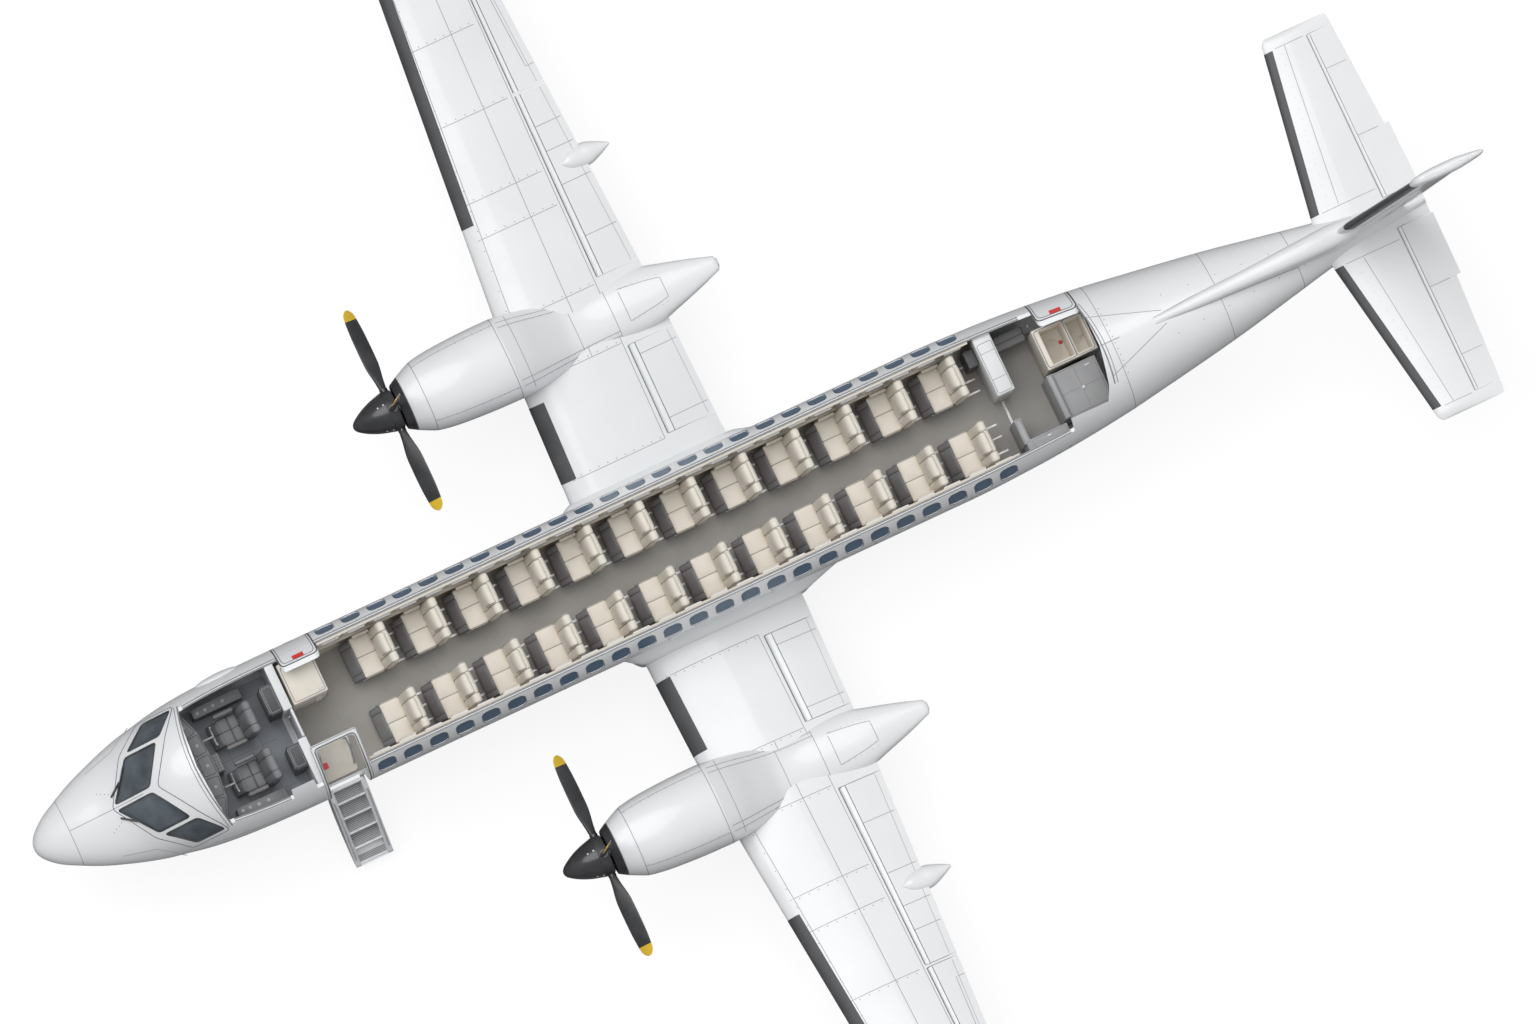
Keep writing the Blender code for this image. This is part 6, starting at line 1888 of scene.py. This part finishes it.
eased("front_galley", beige_laminate, 0.012)
eased("rear_cabinet", white_mould, 0.02)
eased("lavatory_unit", beige_laminate, 0.01)
for label in ("baggage_unit", "side_cabinet"):
    eased(label, grey_laminate, 0.012)
dark_lines = [top_line(rectangle(x, y), z, *sizes) for x, y, z, *sizes in (
    ((-7.012, -6.538), (0.268, 0.8), 2.66, 0.01), ((4.712, 5.155), (0.052, 0.612), 2.66, 0.014, 0.05),
    ((5.15, 5.44), (0.052, 0.6), 2.66, 0.01, 0.05), ((4.722, 5.35), (-0.69, -0.052), 2.56, 0.01),
    ((4.634, 4.688), (-0.69, -0.042), 2.66, 0.008, 0.02), ((4.06, 4.58), (-0.88, -0.762), 2.56, 0.008, 0.02),
    ((3.955, 4.025), (-0.765, -0.415), 2.56, 0.01, 0.03), ((3.905, 4.125), (0.03, 0.78), 2.64, 0.008, 0.03),
)]
for x, y, z in (((4.722, 5.35), (-0.374, -0.368), 2.56), ((5.03, 5.036), (-0.69, -0.052), 2.56),
                ((3.905, 4.125), (0.238, 0.244), 2.64), ((3.905, 4.125), (0.636, 0.642), 2.64),
                ((-7.012, -6.538), (0.79, 0.796), 2.66)):
    dark_lines.append(block(x, y, (z - 0.004, z + 0.003)))
for x in (-7.036, -6.514):
    dark_lines.append(block(about(x, 0.006), (0.238, 0.242), (1.56, 2.6)))
for z in (1.95, 2.3):
    for x, y in (((-6.98, -6.57), (0.2365, 0.242)), ((4.8, 5.3), (-0.032, -0.0275)),
                 ((3.91, 4.12), (-0.0025, 0.003))):
        dark_lines.append(block(x, y, (z, z + 0.008)))
piece("cabinet_edge_strips", merged(*dark_lines), grey_trim)
handles = []
for x, y, z in ((-6.6, 0.31, 2.663), (5.23, -0.11, 2.563), (4.32, -0.8, 2.563)):
    handles.append(slab(rectangle(about(x, 0.035), about(y, 0.012)), z - 0.004, z + 0.012, 0.01))
for x, z in ((-6.64, 2.2), (-6.64, 1.85), (5.02, 2.2)):
    y = 0.2365 if x < 0 else -0.0275
    handles.append(block(about(x, 0.05), (y - 0.022, y + 0.004), about(z, 0.012)))
bevelled(piece("cabinet_latches", merged(*handles), brushed_aluminium), 0.004)
piece("locker_knob", turned("Z", (5.05, -0.385, 0), ((2.556, 0.026), (2.58, 0.026), (2.592, 0.018)), 28),
      white_mould)
flush = turned("Z", (5.085, 0.375, 0), ((1.948, 0.03), (1.972, 0.03), (1.984, 0.02)), 28)
piece("flush_knob", flush, red_plate)
lid = [(4.95 + 0.12 * math.cos(turn), 0.33 + 0.15 * math.sin(turn)) for turn in circle(32)]
piece("toilet_lid", prism(lid, 1.948, 1.962), beige_mould)
basin = [turned("Z", (5.3, 0.33, 0),
                ((2.149, 0.095), (2.158, 0.1), (2.158, 0.088), (2.152, 0.08), (2.151, 0.012)), 40)]
basin.append(tube(bent([(5.385, 0.33, 2.15), (5.385, 0.33, 2.26), (5.315, 0.33, 2.25)], 0.04), 0.011, 12))
piece("wash_basin", merged(*basin), beige_mould)
bin_box = prism(softened(rectangle((3.715, 3.868), (0.55, 0.8)), 0.02, 4), FLOOR_Z + 0.001, 2.3)
bevelled(piece("literature_bin", bin_box, dark_laminate), 0.01)
seat_box = block((4.195, 4.655), (0.7, 0.826), (FLOOR_Z + 0.002, 2.03))
jump_seat = piece("attendant_seat_box", seat_box, dark_laminate)
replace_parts(bevelled(jump_seat, 0.015), "attendant_seat")
JUMP_PAD = ((4.205, 1.97), (4.205, 2.03), (4.25, 2.05), (4.6, 2.05), (4.645, 2.03), (4.645, 1.97),
            (4.43, 1.955))
jump = pad("attendant_cushion", JUMP_PAD, (0.604, 0.826), (0.715,), 0.024)
jump_mesh = jump.data
bpy.data.objects.remove(jump)
piece("attendant_cushion", jump_mesh, dark_leather, sharp=50.0)


# Cockpit
# The bulkhead carries two equipment racks and a hinged door. Forward of two leather seats with padded arms
# stand the pedestal, the side consoles and a five-faced instrument panel with screens, dials and knobs.
cockpit_grey = finish("cockpit_grey", (0.33, 0.35, 0.385), 0.55, dirt=(0.24, 0.26, 0.29), share=0.4,
                      patch=4.0, grain=260.0, depth=0.3)
rack_black = finish("rack_black", (0.05, 0.053, 0.058), 0.45, dirt=(0.11, 0.11, 0.12), share=0.3, patch=6.0)
console_grey = finish("console_grey", (0.2, 0.205, 0.21), 0.5, dirt=(0.28, 0.28, 0.28), share=0.3, patch=6.0)
screen_glass = finish("screen_glass", (0.015, 0.025, 0.035), 0.12, share=0.1, depth=0.0)
dial_face = finish("dial_face", (0.42, 0.44, 0.45), 0.4, dirt=(0.2, 0.2, 0.2), share=0.3, patch=20.0)
seat_grey = finish("pilot_leather", (0.24, 0.245, 0.255), 0.5, dirt=(0.14, 0.14, 0.15), share=0.5, patch=5.0,
                   grain=380.0, depth=0.35, group=LEATHER)
dressed(["cockpit_floor"], cockpit_grey)
dressed(["engine_left", "engine_right"], cast_steel)
eased("cockpit_bulkhead", white_mould, 0.01,
      tint=(rack_black, lambda centre: centre.x < -7.2105))
eased("cockpit_door", white_mould, 0.006, body="flight_deck_door")
latch = block((-7.15, -7.065), (0.15, 0.185), (2.0, 2.04))
bevelled(piece("cockpit_door_handle", latch, brushed_aluminium, "flight_deck_door"), 0.006)
lines, modules, screws = [], [], []
for low, high in ((0.245, 0.68), (-0.6, -0.245)):
    lines.append(top_line(rectangle((-7.372, -7.228), (low + 0.035, high - 0.035)), 2.56, 0.01, 0.02))
    for z in spaced(1.62, 2.42, 0.16):
        modules.append(block((-7.402, -7.386), (low + 0.03, high - 0.03), (z, z + 0.135)))
        for y in (low + 0.05, high - 0.05):
            screws.append((Vector((-7.402, y, z + 0.068)), Vector((-1, 0, 0))))
joints = [(about(x, 0.004), (-0.78, 0.78)) for x in (-9.3, -8.85, -8.1, -7.62)]
joints += [((-8.26, -7.4), about(y, 0.004)) for y in (-0.68, 0.0, 0.7)]
lines += [block(x, y, (FLOOR_Z - 0.003, FLOOR_Z + 0.002)) for x, y in joints]
piece("cockpit_panel_lines", merged(*lines), console_grey)
bevelled(piece("rack_modules", merged(*modules), console_grey), 0.004)
studded("rack_screws", screws, radius=0.007, height=0.003)
handle = bent([(-8.62, 0.735, FLOOR_Z + 0.01), (-8.62, 0.735, 1.62), (-8.5, 0.735, 1.62)], 0.03)
piece("floor_handle", tube(handle, 0.01, 10), brushed_aluminium)


# Instrument panel
# Five alloy panels hold screens in black bezels under a coaming moulded in one piece. A pedestal with four
# levers and rows of knobs runs aft, with consoles along the walls and two yokes on their shafts.
FACETS = ((-0.84, -8.56), (-0.5, -8.44), (-0.17, -8.405), (0.17, -8.405), (0.5, -8.44), (0.84, -8.56))


def panel_rings(back, low, high):
    """The panel's plan outline at two heights: five faces aft and a shallow curve forward."""
    front = [(back, 0.8), (-9.02, 0.4), (-9.02, -0.4), (back, -0.8)]
    return [[(x, y, z) for y, x in FACETS] + [(x, y, z) for x, y in front] for z in (low, high)]


board_rings = [[(x - 0.012, y * 0.985, z) for x, y, z in ring] for ring in panel_rings(-8.99, 1.93, 2.34)]
board = piece("instrument_board", closed_loft(board_rings), console_grey)
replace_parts(bevelled(board, 0.006), "instrument_panel")
inside = closed_loft(body_rings(spaced(1.9, 3.2, 0.1), 96, -SKIN - 0.004))
coaming_rings = panel_rings(-9.0, 2.352, 2.415)
coaming = piece("panel_coaming", closed_loft(coaming_rings), console_grey)
bevelled(carve(coaming, [inside], "INTERSECT"), 0.012, 3)
carve(board, [inside], "INTERSECT")
screens, edges, bezels, dials = [], [], [], []
for (ya, xa), (yb, xb) in zip(FACETS, FACETS[1:]):
    along = Vector((xb - xa, yb - ya, 0.0))
    out = Vector((along.y, -along.x, 0.0)).normalized()
    middle = Vector(((xa + xb) / 2, (ya + yb) / 2 * 0.985, 0.0))
    for share in (-0.24, 0.24):
        spot = middle + along * share
        side = along.normalized()
        for centre_z, tall in ((2.225, 0.085), (2.035, 0.07)):
            for grow, depth, store in ((0.008, 0.006, bezels), (0.0, 0.009, screens)):
                corners = rectangle(about(0.0, 0.062 + grow), about(centre_z, tall + grow))
                store.append(closed_loft([[spot - out * 0.012 + side * a + out * lift + Vector((0, 0, z))
                                           for a, z in corners] for lift in (-0.004, depth)]))
    corners = [middle + along * share - out * deep
               for share, deep in ((-0.42, 0.02), (0.42, 0.02), (0.4, 0.2), (-0.4, 0.2))]
    edges.append(top_line([corner.xy for corner in corners], 2.415, 0.01, 0.03))
    centre = middle - out * 0.1
    dials.append(turned("Z", (centre.x, centre.y, 0), ((2.413, 0.024), (2.421, 0.024), (2.423, 0.014)), 16))
piece("panel_screens", merged(*screens), screen_glass)
piece("panel_bezels", merged(*bezels), rack_black)
pedestal = block((-8.8, -8.282), (-0.138, 0.138), (FLOOR_Z + 0.002, 2.095))
bevelled(piece("control_pedestal", pedestal, console_grey), 0.012)
knobs, levers = [], []
for x in spaced(-8.56, -8.31, 0.04):
    for y in spaced(-0.1, 0.1, 0.04):
        knobs.append(turned("Z", (x, y, 0), ((2.093, 0.011), (2.108, 0.011), (2.112, 0.007)), 10))
for y in (-0.055, -0.018, 0.018, 0.055):
    levers.append(tube([(-8.66, y, 2.09), (-8.69, y, 2.2)], 0.006, 8))
    levers.append(turned("Y", (-8.695, y, 2.21), ((-0.014, 0.013), (0.014, 0.013)), 14))
piece("pedestal_knobs", merged(*knobs), dial_face)
piece("power_levers", merged(*levers), dial_face)
consoles = []
for side in (1, -1):
    outline = [(-8.38, side * 0.7), (-7.62, side * 0.7), (-7.62, side * 0.86), (-8.38, side * 0.84)]
    consoles.append(prism(outline, FLOOR_Z + 0.002, 2.02))
    for x, y in ((-8.3, 0.765), (-8.18, 0.765), (-8.05, 0.775), (-7.9, 0.78)):
        dials.append(turned("Z", (x, side * y, 0), ((2.018, 0.026), (2.03, 0.026), (2.033, 0.016)), 20))
bevelled(piece("side_consoles", merged(*consoles), console_grey), 0.015)
piece("console_dials", merged(*dials), dial_face)
piece("coaming_lines", merged(*edges), rack_black)
yokes = []
for side in (1, -1):
    y = side * 0.3625
    yokes.append(tube([(-8.4, y, 2.1), (-8.235, y, 2.1)], 0.016, 14))
    wheel = [(-8.235, y + aside, z)
             for aside, z in ((-0.13, 2.2), (-0.15, 2.1), (-0.08, 2.055), (0.08, 2.055), (0.15, 2.1),
                              (0.13, 2.2))]
    yokes.append(tube(bent(wheel, 0.05), 0.013, 12))
piece("control_yokes", merged(*yokes), dial_face)


# Pilot seats
# Foam cushions under grey leather, sewn with a cross seam, a three-part back and thick padded arms are
# bolted to alloy pillars on a flat base.
PILOT_X = -8.28
PILOT_Y = 0.3625
spots = [(PILOT_X, 0.0, 0.0)]
THIGH = tuple((x * 0.95 + 0.005, z) for x, z in LEG_REST)
in_rows(pad("pilot_thigh_pads", THIGH, (-0.185, 0.185), (0.0,), 0.026), seat_grey, spots, PILOT_Y)
cushions = in_rows(pad("pilot_cushions", CUSHION, (-0.205, 0.205), (0.0,), 0.034, cross=(0.32,), step=0.016),
                   seat_grey, spots, PILOT_Y)
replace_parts(cushions, "pilot_seat_left", "pilot_seat_right")
in_rows(pad("pilot_backs", BACK, (-0.245, 0.245), (-0.115, 0.115), 0.036, count=44), seat_grey, spots,
        PILOT_Y)
ARM_Y = 0.242
ARM_PAD = ((0.15, 2.085), (0.15, 2.135), (0.19, 2.16), (0.42, 2.16), (0.455, 2.135), (0.455, 2.085),
           (0.3, 2.075))
arm_pads = [pad("pilot_arm_pads", ARM_PAD, about(middle, 0.032), (), 0.02) for middle in (-ARM_Y, ARM_Y)]
joined = bmesh.new()
for arm_pad in arm_pads:
    joined.from_mesh(arm_pad.data)
joined.to_mesh(arm_pads[0].data)
joined.free()
bpy.data.objects.remove(arm_pads[1])
in_rows(arm_pads[0], dark_leather, spots, PILOT_Y)
stand = [block((0.15, 0.53), (-0.155, 0.155), (FLOOR_Z + 0.002, 1.56)),
         block((0.22, 0.46), (-0.1, 0.1), (1.55, 1.8)), block((0.17, 0.5), (-0.19, 0.19), (1.785, 1.815))]
for y in (-ARM_Y, ARM_Y):
    stand.append(block((0.4, 0.44), about(y, 0.012), (1.79, 2.09)))
in_rows(loose("pilot_seat_stands", *stand, wide=0.008), frame_enamel, spots, PILOT_Y)


# Floor, light and camera
# The floor is a plain pale studio sheet. The light is a pale sky with two wide, weak suns, and the camera
# is a long lens high above, turned and leaned as in the photograph.
FLOOR_SIZE = 240.0
PIXEL = 0.0142
PHOTO_WIDTH = 1536
SENSOR_MM = 36.0
LENS_DISTANCE = 300.0
LEAN = (-0.0875, -0.07, 1.0)
AIM = (0.26, -0.07, 2.1)
ROLL = math.radians(25.0)

floor_mesh = bpy.data.meshes.new("studio_floor")
limits = about(0.0, FLOOR_SIZE / 2)
floor_mesh.from_pydata([(x, y, 0) for x, y in rectangle(limits, limits)], [], [(0, 1, 2, 3)])
studio_floor = bpy.data.objects.new("studio_floor", floor_mesh)
bpy.context.scene.collection.objects.link(studio_floor)
floor_finish = bpy.data.materials.new("studio_floor")
floor_finish.use_nodes = True
floor_tree = floor_finish.node_tree
floor_shader = floor_tree.nodes["Principled BSDF"]
floor_shader.inputs["Base Color"].default_value = (0.16, 0.16, 0.16, 1.0)
floor_shader.inputs["Roughness"].default_value = 0.9
floor_shader.inputs["Emission Color"].default_value = (1.0, 1.0, 1.0, 1.0)
seen = node(floor_tree, "ShaderNodeLightPath")
glow = node(floor_tree, "ShaderNodeMath", {0: seen.outputs["Is Camera Ray"], 1: 0.86}, operation="MULTIPLY")
floor_tree.links.new(glow.outputs[0], floor_shader.inputs["Emission Strength"])
floor_mesh.materials.append(floor_finish)

sky = bpy.data.worlds.new("studio")
bpy.context.scene.world = sky
sky.use_nodes = True
sky.node_tree.nodes["Background"].inputs["Color"].default_value = (0.97, 0.985, 1.0, 1.0)
sky.node_tree.nodes["Background"].inputs["Strength"].default_value = 0.36
for name, strength, wide, direction in (("key", 1.9, 50.0, (0.22, -0.34, -1.0)),
                                        ("fill", 0.5, 90.0, (-0.5, 0.5, -1.0))):
    lamp = bpy.data.lights.new(name, "SUN")
    lamp.energy = strength
    lamp.angle = math.radians(wide)
    lamp_object = bpy.data.objects.new(name, lamp)
    lamp_object.rotation_euler = Vector(direction).to_track_quat("-Z", "Y").to_euler()
    bpy.context.scene.collection.objects.link(lamp_object)

camera = bpy.data.cameras.new("camera")
camera.sensor_width = SENSOR_MM
camera.lens = SENSOR_MM * LENS_DISTANCE / (PHOTO_WIDTH * PIXEL)
camera.clip_start, camera.clip_end = 10.0, 2000.0
camera_object = bpy.data.objects.new("camera", camera)
bpy.context.scene.collection.objects.link(camera_object)
back = Vector(LEAN).normalized()
right = Vector((math.cos(ROLL), -math.sin(ROLL), 0.0))
right = (right - right.dot(back) * back).normalized()
up = back.cross(right)
facing = Matrix((right, up, back)).transposed().to_4x4()
camera_object.matrix_world = Matrix.Translation(Vector(AIM) + back * LENS_DISTANCE) @ facing
bpy.context.scene.camera = camera_object
bpy.context.scene.view_settings.view_transform = "Standard"
